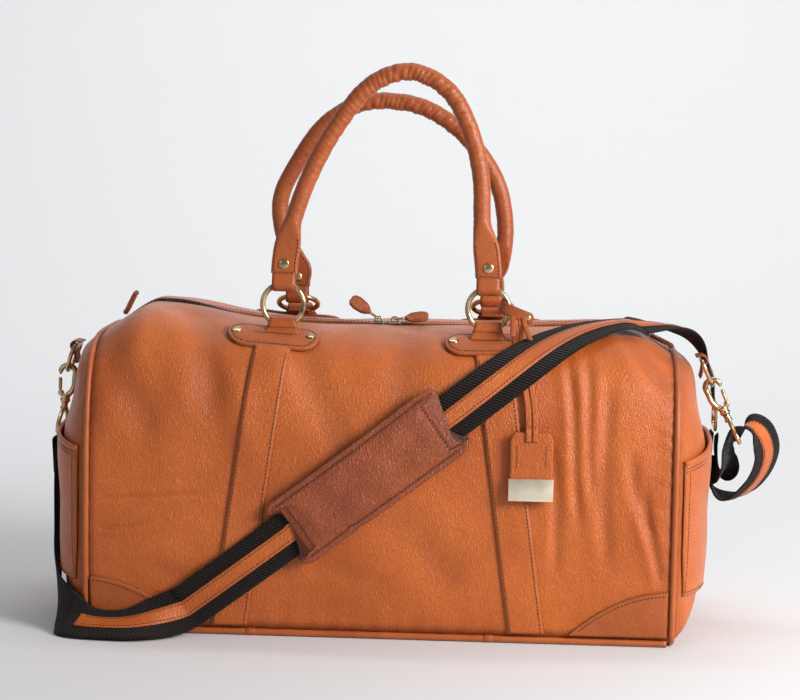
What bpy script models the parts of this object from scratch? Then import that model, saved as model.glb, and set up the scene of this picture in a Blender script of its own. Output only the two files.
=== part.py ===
"""A leather weekender bag with two rolled handles, a two-slider zip and a webbing shoulder strap.

Metres, +X to the bag's right as seen from its front, -Y to the front, +Z up. The origin is the middle of
the underside. Every soft panel is a shell that follows one skin: the section from bottom seam to zip.
"""
import math
from bisect import bisect_right

import bmesh
import bpy
from mathutils import Matrix, Vector

# Body of the bag
HALF_LENGTH = 0.258
HALF_DEPTH = 0.128
FOOT_HALF_DEPTH = 0.119
FOOT_HEIGHT = 0.0078
BELLY_HEIGHT = 0.100
RIDGE_HEIGHT = 0.268
LEFT_PEAK = 0.017
RIGHT_PEAK = 0.004
END_DROOP = 0.023
SHOULDER_POWER = 4.2
LEFT_BULGE = 0.029
RIGHT_BULGE = 0.025
UPPER_SLACK = 0.35
LEATHER = 0.0024
THIN_LEATHER = 0.0016
CLEAR = 0.0006
SEAM_GAP = 0.0036
PIPING_RADIUS = 0.0029
ROWS = 16
COLUMNS = 18
ZIP_EDGE = 0.974
POCKET_LOW = 0.046
POCKET_HIGH = 0.174
POCKET_HALF_WIDTH = 0.107
POCKET_DIP = 0.010
STRIP_HALF_WIDTH = 0.016
CORNER_REACH = 0.088
CORNER_HEIGHT = 0.043
BOTTOM_THICKNESS = 0.0026
LINER_INSET = 0.0068
LINER_THICKNESS = 0.0009

# Zip
ZIP_REACH = 0.240
TAPE_HALF_WIDTH = 0.0160
TEETH_HALF_WIDTH = 0.0034
SLIDER_SIZE = (0.0105, 0.0086, 0.0030)
SLIDER_LUG = (0.0060, 0.0030, 0.0046)
PULL_PIN_RISE = 0.0041
PULL_WIRE = 0.0008
PULL_LINK_LENGTH = 0.0095
PULL_LINK_HALF_WIDTH = 0.0032
PULL_TAB_HALF_THICKNESS = 0.0014
ZIP_END_TAB_SIZE = (0.024, 0.014, 0.0032)
LEFT_SLIDER_X = -0.0115
RIGHT_SLIDER_X = 0.0035

# Handles, their rings and anchors
RING_X = 0.091
RING_RADIUS = 0.0183
RING_WIRE = 0.0024
RING_Y = 0.076
RING_FOOT_Z = 0.2715
REAR_TILT = math.radians(64)
HANDLE_RADIUS = 0.0078
HANDLE_LOOP_RADIUS = 0.0069
HANDLE_LOOP_HOLE = 0.0047
ANCHOR_LENGTH = 0.083
ANCHOR_ARC = 0.036
ANCHOR_S = 0.768
CHAPE_HALF_WIDTH = 0.0090
CHAPE_RADIUS = 0.0072

# Shoulder strap
WEB_WIDTH = 0.040
WEB = 0.0022
STRIPE_WIDTH = 0.016
STRAP_OUT = 0.0072
STRAP_SLOPE = math.radians(37.0)
STRAP_X = -0.009
STRAP_ARC = 0.138
PAD_LENGTH = 0.182
PAD_WIDTH = 0.062
PAD_WALL = 0.0022
PAD_SLOT = 0.0070
PAD_FILLING = 0.0045
ADJUSTER_CENTRE = (0.2985, 0.030, 0.1880)
ADJUSTER_SIZE = (0.0030, 0.0480, 0.0250)
ADJUSTER_SLOT = (0.01, 0.0410, 0.0066)
ADJUSTER_SLOT_RISE = 0.0055

# End fittings
LEFT_BAR_X = 0.2860
RIGHT_BAR_X = 0.2825
RING_BAR_Z = 0.243
D_RING_Y = -0.016
D_WIRE = 0.0019
D_HALF_WIDTH = 0.0185
D_HEIGHT = 0.025
HOOK_WIRE = 0.0024
GATE_WIRE = 0.0017
HOOK_BOW = 0.0068
SWIVEL_WIRE = 0.0020
TAB_HALF_WIDTH = 0.0125

# Luggage tag
TAG_X = 0.1325
TAG_Y = -0.1350
TAG_TOP = 0.1890
TAG_BOTTOM = 0.1290
TAG_WIDTH = 0.038
TAG_THICKNESS = 0.0026
PLATE_SIZE = (0.039, 0.0010, 0.020)


def clear_scene():
    for thing in list(bpy.data.objects):
        bpy.data.objects.remove(thing, do_unlink=True)


def new_collection(name):
    group = bpy.data.collections.new(name)
    bpy.context.scene.collection.children.link(group)
    return group


def material(name, colour, roughness, metallic=0.0):
    made = bpy.data.materials.new(name)
    made.use_nodes = True
    shader = made.node_tree.nodes["Principled BSDF"]
    shader.inputs["Base Color"].default_value = (*colour, 1.0)
    shader.inputs["Roughness"].default_value = roughness
    shader.inputs["Metallic"].default_value = metallic
    return made


clear_scene()
BAG = new_collection("weekender_bag")
CUTTERS = new_collection("cutters")
LEATHER_TAN = ("leather", (0.58, 0.20, 0.06), 0.5, 0.0)
LEATHER_DARK = ("dark_leather", (0.38, 0.11, 0.04), 0.5, 0.0)
WEBBING = ("webbing", (0.022, 0.016, 0.014), 0.85, 0.0)
BRASS = ("brass", (0.78, 0.60, 0.33), 0.3, 1.0)
LINING = ("lining", (0.10, 0.06, 0.04), 0.9, 0.0)
BOARD = ("board", (0.12, 0.09, 0.07), 0.8, 0.0)
ZIP_TAPE = ("zip_tape", (0.02, 0.016, 0.015), 0.8, 0.0)


def finish(thing, look, smooth=True):
    """Gives an object its own material and puts it with the bag's pieces."""
    name, colour, roughness, metallic = look
    thing.data.materials.clear()
    thing.data.materials.append(material(thing.name + "_" + name, colour, roughness, metallic))
    if smooth and thing.type == "MESH":
        thing.data.shade_smooth()
        thing.data.set_sharp_from_angle(angle=math.radians(40))
    for group in list(thing.users_collection):
        group.objects.unlink(thing)
    BAG.objects.link(thing)
    return thing


def mesh_object(name, points, faces):
    mesh = bpy.data.meshes.new(name)
    mesh.from_pydata([tuple(p) for p in points], [], faces)
    mesh.validate()
    thing = bpy.data.objects.new(name, mesh)
    BAG.objects.link(thing)
    return thing


def curve_object(name, points, radius, closed=False, resolution=2):
    """A round wire through the points."""
    curve = bpy.data.curves.new(name, "CURVE")
    curve.dimensions = "3D"
    curve.bevel_depth = radius
    curve.bevel_resolution = resolution
    curve.use_fill_caps = not closed
    spline = curve.splines.new("POLY")
    spline.points.add(len(points) - 1)
    for spot, point in zip(spline.points, points):
        spot.co = (*point, 1.0)
    spline.use_cyclic_u = closed
    thing = bpy.data.objects.new(name, curve)
    BAG.objects.link(thing)
    return thing


def solid_from_curve(thing):
    """The curve object as a welded mesh object of the same name."""
    bpy.context.view_layer.update()
    evaluated = thing.evaluated_get(bpy.context.evaluated_depsgraph_get())
    mesh = bpy.data.meshes.new_from_object(evaluated)
    name = thing.name
    place = thing.matrix_world.copy()
    bpy.data.objects.remove(thing, do_unlink=True)
    weld(mesh)
    made = bpy.data.objects.new(name, mesh)
    made.matrix_world = place
    BAG.objects.link(made)
    return made


def weld(mesh):
    shape = bmesh.new()
    shape.from_mesh(mesh)
    bmesh.ops.remove_doubles(shape, verts=shape.verts, dist=0.00001)
    bmesh.ops.recalc_face_normals(shape, faces=shape.faces)
    shape.to_mesh(mesh)
    shape.free()


def boolean(thing, other, operation):
    """Joins or cuts with another object, which becomes a guide."""
    for group in list(other.users_collection):
        group.objects.unlink(other)
    CUTTERS.objects.link(other)
    other.hide_render = True
    other.display_type = "WIRE"
    step = thing.modifiers.new(operation.lower(), "BOOLEAN")
    step.operation = operation
    step.object = other
    step.solver = "EXACT"


def solidify(thing, thickness, offset=-1.0):
    step = thing.modifiers.new("thickness", "SOLIDIFY")
    step.thickness = thickness
    step.offset = offset
    step.use_even_offset = True
    step.use_rim = True


def round_edges(thing, width, segments=2):
    step = thing.modifiers.new("round", "BEVEL")
    step.width = width
    step.segments = segments
    step.limit_method = "ANGLE"
    step.angle_limit = math.radians(40)


def grid(name, rows, flip=False):
    """An open sheet from rows of points of equal length."""
    width = len(rows[0])
    points = [p for row in rows for p in row]
    faces = []
    for i in range(len(rows) - 1):
        for j in range(width - 1):
            face = (i * width + j, i * width + j + 1, (i + 1) * width + j + 1, (i + 1) * width + j)
            faces.append(face[::-1] if flip else face)
    return mesh_object(name, points, faces)


def box(name, size, centre, turn=None):
    bpy.ops.mesh.primitive_cube_add(size=1.0)
    thing = bpy.context.object
    thing.name = name
    thing.data.transform(Matrix.Diagonal((*size, 1.0)))
    if turn:
        thing.data.transform(turn.to_4x4())
    thing.data.transform(Matrix.Translation(centre))
    return thing


def cylinder(name, radius, length, centre, direction, sides=20):
    bpy.ops.mesh.primitive_cylinder_add(vertices=sides, radius=radius, depth=length)
    thing = bpy.context.object
    thing.name = name
    turn = Vector((0, 0, 1)).rotation_difference(Vector(direction)).to_matrix().to_4x4()
    thing.data.transform(Matrix.Translation(centre) @ turn)
    return thing


def origin_at(thing, point):
    """Moves the object's origin to a joint's axis and leaves its shape where it is."""
    thing.data.transform(Matrix.Translation(-Vector(point)))
    thing.location = Vector(point)


# The skin

def bump(x, centre, width):
    return math.exp(-((x - centre) / width) ** 2)


def smooth(t):
    t = min(max(t, 0.0), 1.0)
    return t * t * (3.0 - 2.0 * t)


def ridge_height(x):
    peaks = LEFT_PEAK * bump(x, -0.220, 0.085) + RIGHT_PEAK * bump(x, 0.200, 0.070)
    return RIDGE_HEIGHT + peaks - END_DROOP * smooth((abs(x) - 0.210) / 0.055)


def outline(x, t):
    """(half depth, height) on the section at x, for t from 0 at the bottom seam to 1 at the zip line."""
    low = 0.28
    if t < low:
        z = FOOT_HEIGHT + (BELLY_HEIGHT - FOOT_HEIGHT) * t / low
        narrowing = ((BELLY_HEIGHT - z) / BELLY_HEIGHT) ** 2
        return HALF_DEPTH - (HALF_DEPTH - FOOT_HALF_DEPTH) * narrowing, z
    angle = (t - low) / (1.0 - low) * math.pi / 2
    power = 2.0 / SHOULDER_POWER
    half = HALF_DEPTH * max(math.cos(angle), 0.0) ** power
    return half, BELLY_HEIGHT + (ridge_height(x) - BELLY_HEIGHT) * math.sin(angle) ** power


def equal_steps(count):
    """Values of t that divide the mid section's girth into equal lengths, and that length."""
    fine = [i / 2000 for i in range(2001)]
    spots = [outline(0.0, t) for t in fine]
    run = [0.0]
    for a, b in zip(spots, spots[1:]):
        run.append(run[-1] + math.dist(a, b))
    picks = []
    for k in range(count + 1):
        target = run[-1] * k / count
        i = min(max(bisect_right(run, target) - 1, 0), len(fine) - 2)
        share = (target - run[i]) / (run[i + 1] - run[i])
        picks.append(fine[i] + share * (fine[i + 1] - fine[i]))
    return picks, run[-1]


STEPS, GIRTH = equal_steps(ROWS)


def section(x, out=0.0):
    """(half depth, height) at each step of the skin at x, moved outwards by out."""
    spots = [Vector(outline(x, t)) for t in STEPS]
    moved = []
    for i, spot in enumerate(spots):
        along = spots[min(i + 1, ROWS)] - spots[max(i - 1, 0)]
        if i == ROWS:
            along = Vector((-1.0, 0.0))
        normal = Vector((along.y, -along.x)).normalized()
        moved.append(spot + normal * out)
    return moved


def skin(x, s, out=0.0, side=-1):
    """The point on the bag's skin at x and at the share s of the way from bottom seam to zip line."""
    spots = section(x, out)
    place = min(max(s, 0.0), 1.0) * ROWS
    i = min(int(place), ROWS - 1)
    spot = spots[i].lerp(spots[i + 1], place - i)
    return Vector((x, side * spot.x, spot.y))


def skin_height(x, y):
    """Height of the skin at x and at half depth y, on the shoulder."""
    spots = section(x)
    for a, b in zip(spots, spots[1:]):
        if b.x <= y <= a.x:
            return a.y + (b.y - a.y) * (a.x - y) / (a.x - b.x)
    return spots[-1].y


def steps_between(low, high):
    """Shares of the skin from low to high, with each of the skin's own steps between them."""
    inner = [k / ROWS for k in range(ROWS + 1) if low + 0.006 < k / ROWS < high - 0.006]
    return [low, *inner, high]


def skin_patch(name, rows, thickness, look, side=-1):
    """A leather piece on the skin, from rows of (x, s, out) triples."""
    points = [[skin(x, s, out, side) for x, s, out in row] for row in rows]
    piece = grid(name, points, flip=side > 0)
    solidify(piece, thickness)
    return finish(piece, look)


# Panels, lining and piping

def long_panel(name, side):
    reach = HALF_LENGTH - SEAM_GAP
    xs = [-reach + 2 * reach * i / COLUMNS for i in range(COLUMNS + 1)]
    rows = [[(x, s, 0.0) for x in xs] for s in steps_between(0.0, ZIP_EDGE)]
    return skin_patch(name, rows, LEATHER, LEATHER_TAN, side)


def end_outline(x):
    """The closed outline (y, z) of an end, from the front bottom seam round to the rear and back below."""
    half = section(x)
    front = [Vector((-p.x, p.y)) for p in half]
    rear = [Vector((p.x, p.y)) for p in reversed(half[:-1])]
    foot = half[0]
    below = [Vector((foot.x * (1 - 2 * k / 6), foot.y)) for k in range(1, 6)]
    return front + rear + below


END_CENTRE = Vector((0.0, 0.115))


def end_depth(share, z, side):
    """How far the end stands out at height z, a share of the way from its middle to its seam."""
    bulge = LEFT_BULGE if side < 0 else RIGHT_BULGE
    slack = 1.0 - UPPER_SLACK * smooth((z - 0.165) / 0.055)
    return SEAM_GAP + bulge * slack * (1.0 - share ** 4)


def end_reach(y, z, side):
    """The share of the way from the end's middle to its seam at (y, z)."""
    spots = end_outline(side * HALF_LENGTH)
    away = Vector((y, z)) - END_CENTRE
    best = 0.0
    for a, b in zip(spots, spots[1:] + spots[:1]):
        edge = b - a
        normal = Vector((-edge.y, edge.x)).normalized()
        distance = normal.dot(a - END_CENTRE)
        if distance > 0.001:
            best = max(best, normal.dot(away) / distance)
    return best


def end_panel(name, side):
    spots = end_outline(side * HALF_LENGTH)
    count = len(spots)
    points = []
    for share in (0.972, 0.93, 0.82, 0.66, 0.40):
        for spot in spots:
            flat = END_CENTRE + (spot - END_CENTRE) * share
            points.append((side * (HALF_LENGTH + end_depth(share, flat.y, side)), flat.x, flat.y))
    points.append((side * (HALF_LENGTH + end_depth(0.0, END_CENTRE.y, side)), END_CENTRE.x, END_CENTRE.y))
    faces = []
    for ring in range(4):
        for i in range(count):
            j = (i + 1) % count
            faces.append((ring * count + i, ring * count + j, (ring + 1) * count + j, (ring + 1) * count + i))
    for i in range(count):
        faces.append((4 * count + i, 4 * count + (i + 1) % count, 5 * count))
    if side > 0:
        faces = [face[::-1] for face in faces]
    piece = mesh_object(name, points, faces)
    solidify(piece, LEATHER)
    return finish(piece, LEATHER_TAN)


def end_pocket(name, side):
    columns, rows = 8, 6
    points = []
    for r in range(rows + 1):
        z = POCKET_LOW + (POCKET_HIGH - POCKET_LOW) * r / rows
        row = []
        for c in range(columns + 1):
            y = (-1 + 2 * c / columns) * POCKET_HALF_WIDTH
            middle = 1 - (y / POCKET_HALF_WIDTH) ** 2
            height = z - POCKET_DIP * (1 - middle) * (r / rows)
            out = 0.0022 + 0.0025 * smooth((height - 0.11) / 0.06) * middle
            reach = end_depth(end_reach(y, height, side), height, side)
            row.append((side * (HALF_LENGTH + reach + out + THIN_LEATHER), y, height))
        points.append(row)
    piece = grid(name, points, flip=side < 0)
    solidify(piece, THIN_LEATHER)
    return finish(piece, LEATHER_TAN)


def piping_loop(name, side):
    """The covered cord round an end seam."""
    x = side * HALF_LENGTH
    inner = section(x, -0.0012)
    front = [(x, -p.x, p.y) for p in inner[:-1]]
    rear = [(x, p.x, p.y) for p in reversed(inner)]
    low = FOOT_HALF_DEPTH - 0.009
    below = [(x, low - 2 * low * k / 6, 0.0034) for k in range(7)]
    piece = curve_object(name, front + rear + below, PIPING_RADIUS, closed=True)
    return finish(piece, LEATHER_DARK)


def piping_run(name, side):
    reach = HALF_LENGTH - 0.0042
    xs = (-reach, -reach / 2, 0.0, reach / 2, reach)
    points = [(x, side * (FOOT_HALF_DEPTH - 0.0005), 0.0032) for x in xs]
    return finish(curve_object(name, points, PIPING_RADIUS), LEATHER_DARK)


def bottom_pieces():
    width = 2 * (FOOT_HALF_DEPTH - 0.0045)
    length = 2 * (HALF_LENGTH - 0.0040)
    bottom = box("bottom_panel", (length, width, BOTTOM_THICKNESS), (0, 0, BOTTOM_THICKNESS / 2))
    finish(bottom, LEATHER_TAN)
    board = box("base_board", (length - 0.016, width - 0.010, 0.0026), (0, 0, 0.0043))
    finish(board, BOARD)


def lining():
    """The fabric liner: a deep bag, open along the zip."""
    reach = HALF_LENGTH - 0.012
    shares = [0.0, 0.125, 0.3125, 0.5, 0.625, 0.6875, 0.75, 0.8125, 0.875, 0.9375]
    xs = [reach * (-1 + 2 * i / 10) for i in range(11)]
    points = []
    for s in shares:
        lift = 0.0012 if s == 0.0 else 0.0
        front = [skin(x, s, -LINER_INSET) for x in xs]
        rear = [skin(x, s, -LINER_INSET, 1) for x in reversed(xs)]
        ring = front + end_bridge(front[-1], rear[0]) + rear + end_bridge(rear[-1], front[0])
        points.extend(p + Vector((0, 0, lift)) for p in ring)
    count = len(points) // len(shares)
    faces = [tuple(reversed(range(count)))]
    for ring in range(len(shares) - 1):
        for i in range(count):
            j = (i + 1) % count
            faces.append((ring * count + i, ring * count + j, (ring + 1) * count + j, (ring + 1) * count + i))
    piece = mesh_object("lining", points, faces)
    solidify(piece, LINER_THICKNESS)
    return finish(piece, LINING)


def end_bridge(a, b):
    """Three points across the end between the front and rear of a liner ring."""
    return [a.lerp(b, k / 4) for k in (1, 2, 3)]


def strip(name, side, hand):
    """A reinforcing strip that runs from the bottom seam up to the handle anchor."""
    rows = []
    for s in steps_between(0.004, ANCHOR_S - 0.058):
        middle = hand * (0.131 - 0.035 * s / 0.72)
        rows.append([(middle + k * STRIP_HALF_WIDTH, s, CLEAR + THIN_LEATHER) for k in (-1, 0, 1)])
    return skin_patch(name, rows, THIN_LEATHER, LEATHER_TAN, side)


def corner_patch(name, side, hand):
    """A corner guard whose upper edge curves from the end seam down to the bottom seam."""
    far = HALF_LENGTH - SEAM_GAP - 0.0005
    tops = [0.0, 0.011, 0.024, 0.037, 0.052, 0.066, 0.078, 0.0855]
    columns_of_points = []
    for d in tops:
        top = CORNER_HEIGHT * (1 - (d / CORNER_REACH) ** 2) / GIRTH
        x = hand * (far - d)
        column = [(x, 0.004 + (top - 0.004) * k / 3, CLEAR + THIN_LEATHER) for k in range(4)]
        columns_of_points.append(column)
    rows = [list(row) for row in zip(*columns_of_points)]
    if hand > 0:
        rows = [row[::-1] for row in rows]
    return skin_patch(name, rows, THIN_LEATHER, LEATHER_DARK, side)


# Zip

def swept_section(name, profile, xs, look):
    """A bar with the same (y, z) section all the way along the ridge."""
    count = len(profile)
    points = []
    for x in xs:
        points.extend((x, y, ridge_height(x) + z) for y, z in profile)
    faces = [tuple(range(count))]
    last = (len(xs) - 1) * count
    faces.append(tuple(last + i for i in reversed(range(count))))
    for ring in range(len(xs) - 1):
        for i in range(count):
            j = (i + 1) % count
            faces.append((ring * count + j, ring * count + i, (ring + 1) * count + i, (ring + 1) * count + j))
    piece = mesh_object(name, points, faces)
    weld(piece.data)
    return finish(piece, look)


def zip_half(name, side):
    """Zip tape with its row of teeth."""
    near, low, tape_top, teeth_top = 0.0003, -0.0060, -0.0048, -0.0013
    profile = [(TAPE_HALF_WIDTH, low), (near, low), (near, teeth_top), (TEETH_HALF_WIDTH, teeth_top)]
    profile += [(TEETH_HALF_WIDTH, tape_top), (TAPE_HALF_WIDTH, tape_top)]
    xs = [ZIP_REACH * (-1 + i / 13) for i in range(27)]
    return swept_section(name, [(side * y, z) for y, z in profile], xs, ZIP_TAPE)


def zip_slider(name, x):
    """Slider body with a bored lug on top for the pull."""
    z = ridge_height(x)
    body = box(name, SLIDER_SIZE, (x, 0, z + 0.0010))
    lug = box(name + "_lug", SLIDER_LUG, (x, 0, z + 0.0038))
    boolean(body, lug, "UNION")
    pin = Vector((x, 0, z + PULL_PIN_RISE))
    hole = cylinder(name + "_hole", 0.0014, 0.010, pin, (0, 1, 0), 12)
    boolean(body, hole, "DIFFERENCE")
    finish(body, BRASS)
    origin_at(body, (x, 0, z))
    for guide in (lug, hole):
        origin_at(guide, (x, 0, z))
    return pin


def zip_pull(name, pin, angle):
    """A wire link through the slider's lug with a leather tab on it, lying at angle above the ridge."""
    along = Vector((math.cos(angle), 0, math.sin(angle)))
    up = Vector((-math.sin(angle), 0, math.cos(angle)))
    if up.z < 0:
        up = -up
    half = PULL_LINK_HALF_WIDTH
    corners = [(0, -half), (0, half), (PULL_LINK_LENGTH, half), (PULL_LINK_LENGTH, -half)]
    wire = [pin + along * a + Vector((0, b, 0)) for a, b in corners]
    link = solid_from_curve(curve_object(name, wire, PULL_WIRE, closed=True, resolution=1))
    shape = [(0.0088, 0.0030), (0.0120, 0.0058), (0.0240, 0.0070), (0.0290, 0.0055), (0.0310, 0.0025)]
    ring = shape + [(a, -b) for a, b in reversed(shape)]
    thick = PULL_TAB_HALF_THICKNESS
    points = [pin + along * a + Vector((0, b, 0)) + up * h for h in (-thick, thick) for a, b in ring]
    count = len(ring)
    faces = [tuple(range(count)), tuple(reversed(range(count, 2 * count)))]
    for i in range(count):
        j = (i + 1) % count
        faces.append((j, i, count + i, count + j))
    tab = mesh_object(name + "_tab", points, faces)
    weld(tab.data)
    boolean(link, tab, "UNION")
    finish(link, LEATHER_DARK)
    origin_at(link, pin)
    origin_at(tab, pin)
    return link


def zip_end_tab(name, x, tilt, high):
    """A folded leather tab over an end of the zip."""
    turn = Matrix.Rotation(tilt, 3, "Y")
    piece = box(name, ZIP_END_TAB_SIZE, (0, 0, 0))
    round_edges(piece, 0.0012)
    piece.data.transform(Matrix.Translation((x, 0, ridge_height(x) + high)) @ turn.to_4x4())
    return finish(piece, LEATHER_DARK)


# Handle anchors, rings and handles

def anchor(name, side, hand):
    """A stadium patch on the shoulder with a leather chape that bridges the foot of the ring."""
    half_arc = ANCHOR_ARC / GIRTH / 2
    end = ANCHOR_LENGTH / 2 - ANCHOR_ARC / 2
    shares = [-1.0, -0.72, -0.25, 0.25, 0.72, 1.0]
    rows = []
    for share in shares:
        reach = end + ANCHOR_ARC / 2 * math.sqrt(1 - share * share * 0.96)
        xs = [hand * RING_X + reach * k / 4 for k in range(-4, 5)]
        rows.append([(x, ANCHOR_S + share * half_arc, CLEAR + 0.0025) for x in xs])
    patch = skin_patch(name, rows, 0.0021, LEATHER_DARK, side)
    centre = Vector((RING_Y, RING_FOOT_Z))
    arc = [math.radians(a) for a in range(-25, 206, 21)]
    feet = [Vector((y, skin_height(hand * RING_X, y) + 0.0027)) for y in (0.0920, 0.0610)]
    path = [feet[0]]
    path += [centre + CHAPE_RADIUS * Vector((math.cos(a), math.sin(a))) for a in arc]
    path.append(feet[1])
    rows = [[(hand * RING_X + k * CHAPE_HALF_WIDTH, side * p.x, p.y) for k in (-1, 1)] for p in path]
    chape = grid(name + "_chape", rows, flip=side < 0)
    solidify(chape, 0.0020, 0.0)
    boolean(patch, chape, "UNION")
    return patch


def ring_points(centre, radius, lift, count=18):
    """Points round a circle in the plane of +X and lift."""
    turns = [2 * math.pi * k / count for k in range(count)]
    return [centre + radius * (math.cos(a) * Vector((1, 0, 0)) + math.sin(a) * lift) for a in turns]


def handle_ring(name, side, hand, tilt):
    """A brass ring that stands on its foot, leaning by tilt towards the zip."""
    foot = Vector((hand * RING_X, side * RING_Y, RING_FOOT_Z))
    lift = Vector((0, -side * math.sin(tilt), math.cos(tilt)))
    points = ring_points(foot + RING_RADIUS * lift, RING_RADIUS, lift)
    piece = finish(curve_object(name, points, RING_WIRE, closed=True), BRASS)
    origin_at(piece, foot)
    return foot + 2 * RING_RADIUS * lift


def smooth_route(points, count):
    """Points evenly shared along a Catmull-Rom curve through the route's own points."""
    spots = [Vector(p) for p in points]
    spots = [2 * spots[0] - spots[1], *spots, 2 * spots[-1] - spots[-2]]
    made = []
    for k in range(count + 1):
        place = k / count * (len(points) - 1)
        i = min(int(place), len(points) - 2)
        t = place - i
        a, b, c, d = spots[i:i + 4]
        made.append(0.5 * (2 * b + (c - a) * t + (2 * a - 5 * b + 4 * c - d) * t ** 2
                           + (3 * b - a - 3 * c + d) * t ** 3))
    return made


FRONT_ARCH = [(-0.088, 0.340), (-0.083, 0.365), (-0.069, 0.404), (-0.047, 0.446), (-0.017, 0.484),
              (0.018, 0.497), (0.051, 0.482), (0.071, 0.449), (0.082, 0.407), (0.084, 0.366), (0.088, 0.340)]
REAR_ARCH = [(-0.094, 0.318), (-0.105, 0.348), (-0.107, 0.378), (-0.094, 0.408), (-0.068, 0.446),
             (-0.034, 0.467), (0.004, 0.469), (0.036, 0.459), (0.068, 0.434), (0.094, 0.395),
             (0.102, 0.350), (0.094, 0.318)]


def handle(name, pin, arch):
    """A rolled handle that ends in two flat tabs, each folded round a ring."""
    y = pin.y
    route = [(x, y, z) for x, z in arch]
    tube = solid_from_curve(curve_object(name, smooth_route(route, 28), HANDLE_RADIUS, resolution=2))
    for hand, mouth in ((-1, "left"), (1, "right")):
        centre = Vector((hand * RING_X, y, pin.z))
        low = pin.z + HANDLE_LOOP_HOLE + 0.0008
        high = arch[0][1] + 0.014
        middle = Vector((hand * RING_X * 0.985, y, (low + high) / 2))
        tab = box(f"{name}_{mouth}_tab", (0.023, 0.0060, high - low), middle)
        boolean(tube, tab, "UNION")
        loop = cylinder(f"{name}_{mouth}_loop", HANDLE_LOOP_RADIUS, 0.015, centre, (1, 0, 0))
        boolean(tube, loop, "UNION")
        hole = cylinder(f"{name}_{mouth}_hole", HANDLE_LOOP_HOLE, 0.030, centre, (1, 0, 0))
        boolean(tube, hole, "DIFFERENCE")
        for guide in (tab, loop, hole):
            origin_at(guide, (0, y, pin.z))
    finish(tube, LEATHER_DARK)
    origin_at(tube, (0, y, pin.z))
    return tube


# End rings, hooks and gates

def ring_bar(side):
    """The middle of a D-ring's straight bar."""
    return Vector((-LEFT_BAR_X if side < 0 else RIGHT_BAR_X, D_RING_Y, RING_BAR_Z))


def d_ring_tab(name, side):
    """A leather loop on the end that holds the D-ring's bar."""
    bar = ring_bar(side)
    arc = [math.radians(a) for a in range(-80, 101, 20)]
    path = [Vector((bar.x * side - 0.0012, bar.z - 0.016))]
    path += [Vector((bar.x * side + 0.0045 * math.cos(a), bar.z + 0.0045 * math.sin(a))) for a in arc]
    path.append(Vector((bar.x * side - 0.0056, bar.z + 0.0035)))
    rows = [[(side * p.x, bar.y + k * TAB_HALF_WIDTH, p.y) for k in (-1, 1)] for p in path]
    piece = grid(name, rows, flip=side > 0)
    solidify(piece, 0.0017, 0.0)
    return finish(piece, LEATHER_DARK)


def d_ring(name, side, tilt):
    """A wire D that hangs from its bar, leaning outwards by tilt."""
    bar = ring_bar(side)
    down = Vector((side * math.sin(tilt), 0, -math.cos(tilt)))
    across = Vector((0, 1, 0))
    points = [bar + across * D_HALF_WIDTH * k for k in (-0.9, 0.0, 0.9)]
    bend = D_HEIGHT - 0.004
    for k in range(13):
        a = math.pi * k / 12
        points.append(bar + across * D_HALF_WIDTH * math.cos(a) + down * (0.004 + bend * math.sin(a)))
    piece = finish(curve_object(name, points, D_WIRE, closed=True), BRASS)
    origin_at(piece, bar)
    return bar + down * D_HEIGHT


def hook(label, side, seat, lean):
    """Snap hook, its sprung gate and its swivelling strap eye, hung on the D-ring at seat."""
    along = Vector((side * math.sin(lean), 0, -math.cos(lean)))
    outer = Vector((side * math.cos(lean), 0, math.sin(lean)))
    bow = seat + along * (HOOK_BOW - HOOK_WIRE - D_WIRE - 0.0004)

    def at(down, across):
        return bow + along * down + outer * across

    spine = [at(0.0215, -0.001), at(0.0170, -0.0050), at(0.0120, -HOOK_BOW), at(0.0060, -HOOK_BOW)]
    arc = [math.radians(a) for a in range(180, -21, -20)]
    spine += [at(-HOOK_BOW * math.sin(a), HOOK_BOW * math.cos(a)) for a in arc]
    body = solid_from_curve(curve_object("hook_" + label, spine, HOOK_WIRE, resolution=2))
    collar = cylinder(f"hook_{label}_collar", 0.0046, 0.0070, at(0.0235, 0.0), along, 16)
    boolean(body, collar, "UNION")
    heel = cylinder(f"hook_{label}_heel", 0.0026, 0.0050, at(0.0192, 0.0045), (0, 1, 0), 12)
    boolean(body, heel, "UNION")
    finish(body, BRASS)
    for piece in (body, collar, heel):
        origin_at(piece, seat)
    gate_foot = at(0.0158, 0.0056)
    gate_tip = at(0.0058, 0.0064)
    gate = curve_object("gate_" + label, [gate_foot, gate_foot.lerp(gate_tip, 0.5), gate_tip], GATE_WIRE)
    finish(gate, BRASS)
    origin_at(gate, gate_foot)
    eye = [(0.0345, -0.0040), (0.0365, -0.0120), (0.0440, -0.0215), (0.0510, -0.0225),
           (0.0530, -0.0190), (0.0530, 0.0190), (0.0510, 0.0225), (0.0440, 0.0215),
           (0.0365, 0.0120), (0.0345, 0.0040)]
    wire = [at(down, 0.0) + Vector((0, across, 0)) for down, across in eye]
    swivel = solid_from_curve(curve_object("swivel_" + label, wire, SWIVEL_WIRE, closed=True))
    stem = cylinder(f"swivel_{label}_stem", 0.0036, 0.0070, at(0.0309, 0.0), along, 16)
    boolean(swivel, stem, "UNION")
    finish(swivel, BRASS)
    for piece in (swivel, stem):
        origin_at(piece, at(0.0275, 0.0))


# Shoulder strap

ACROSS = (-1.0, -0.5, 0.0, 0.5, 1.0)


def ribbon(name, rows, thickness, look):
    """A flat band through rows of points across it."""
    piece = grid(name, rows, flip=True)
    solidify(piece, thickness, 0.0)
    return finish(piece, look)


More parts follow.
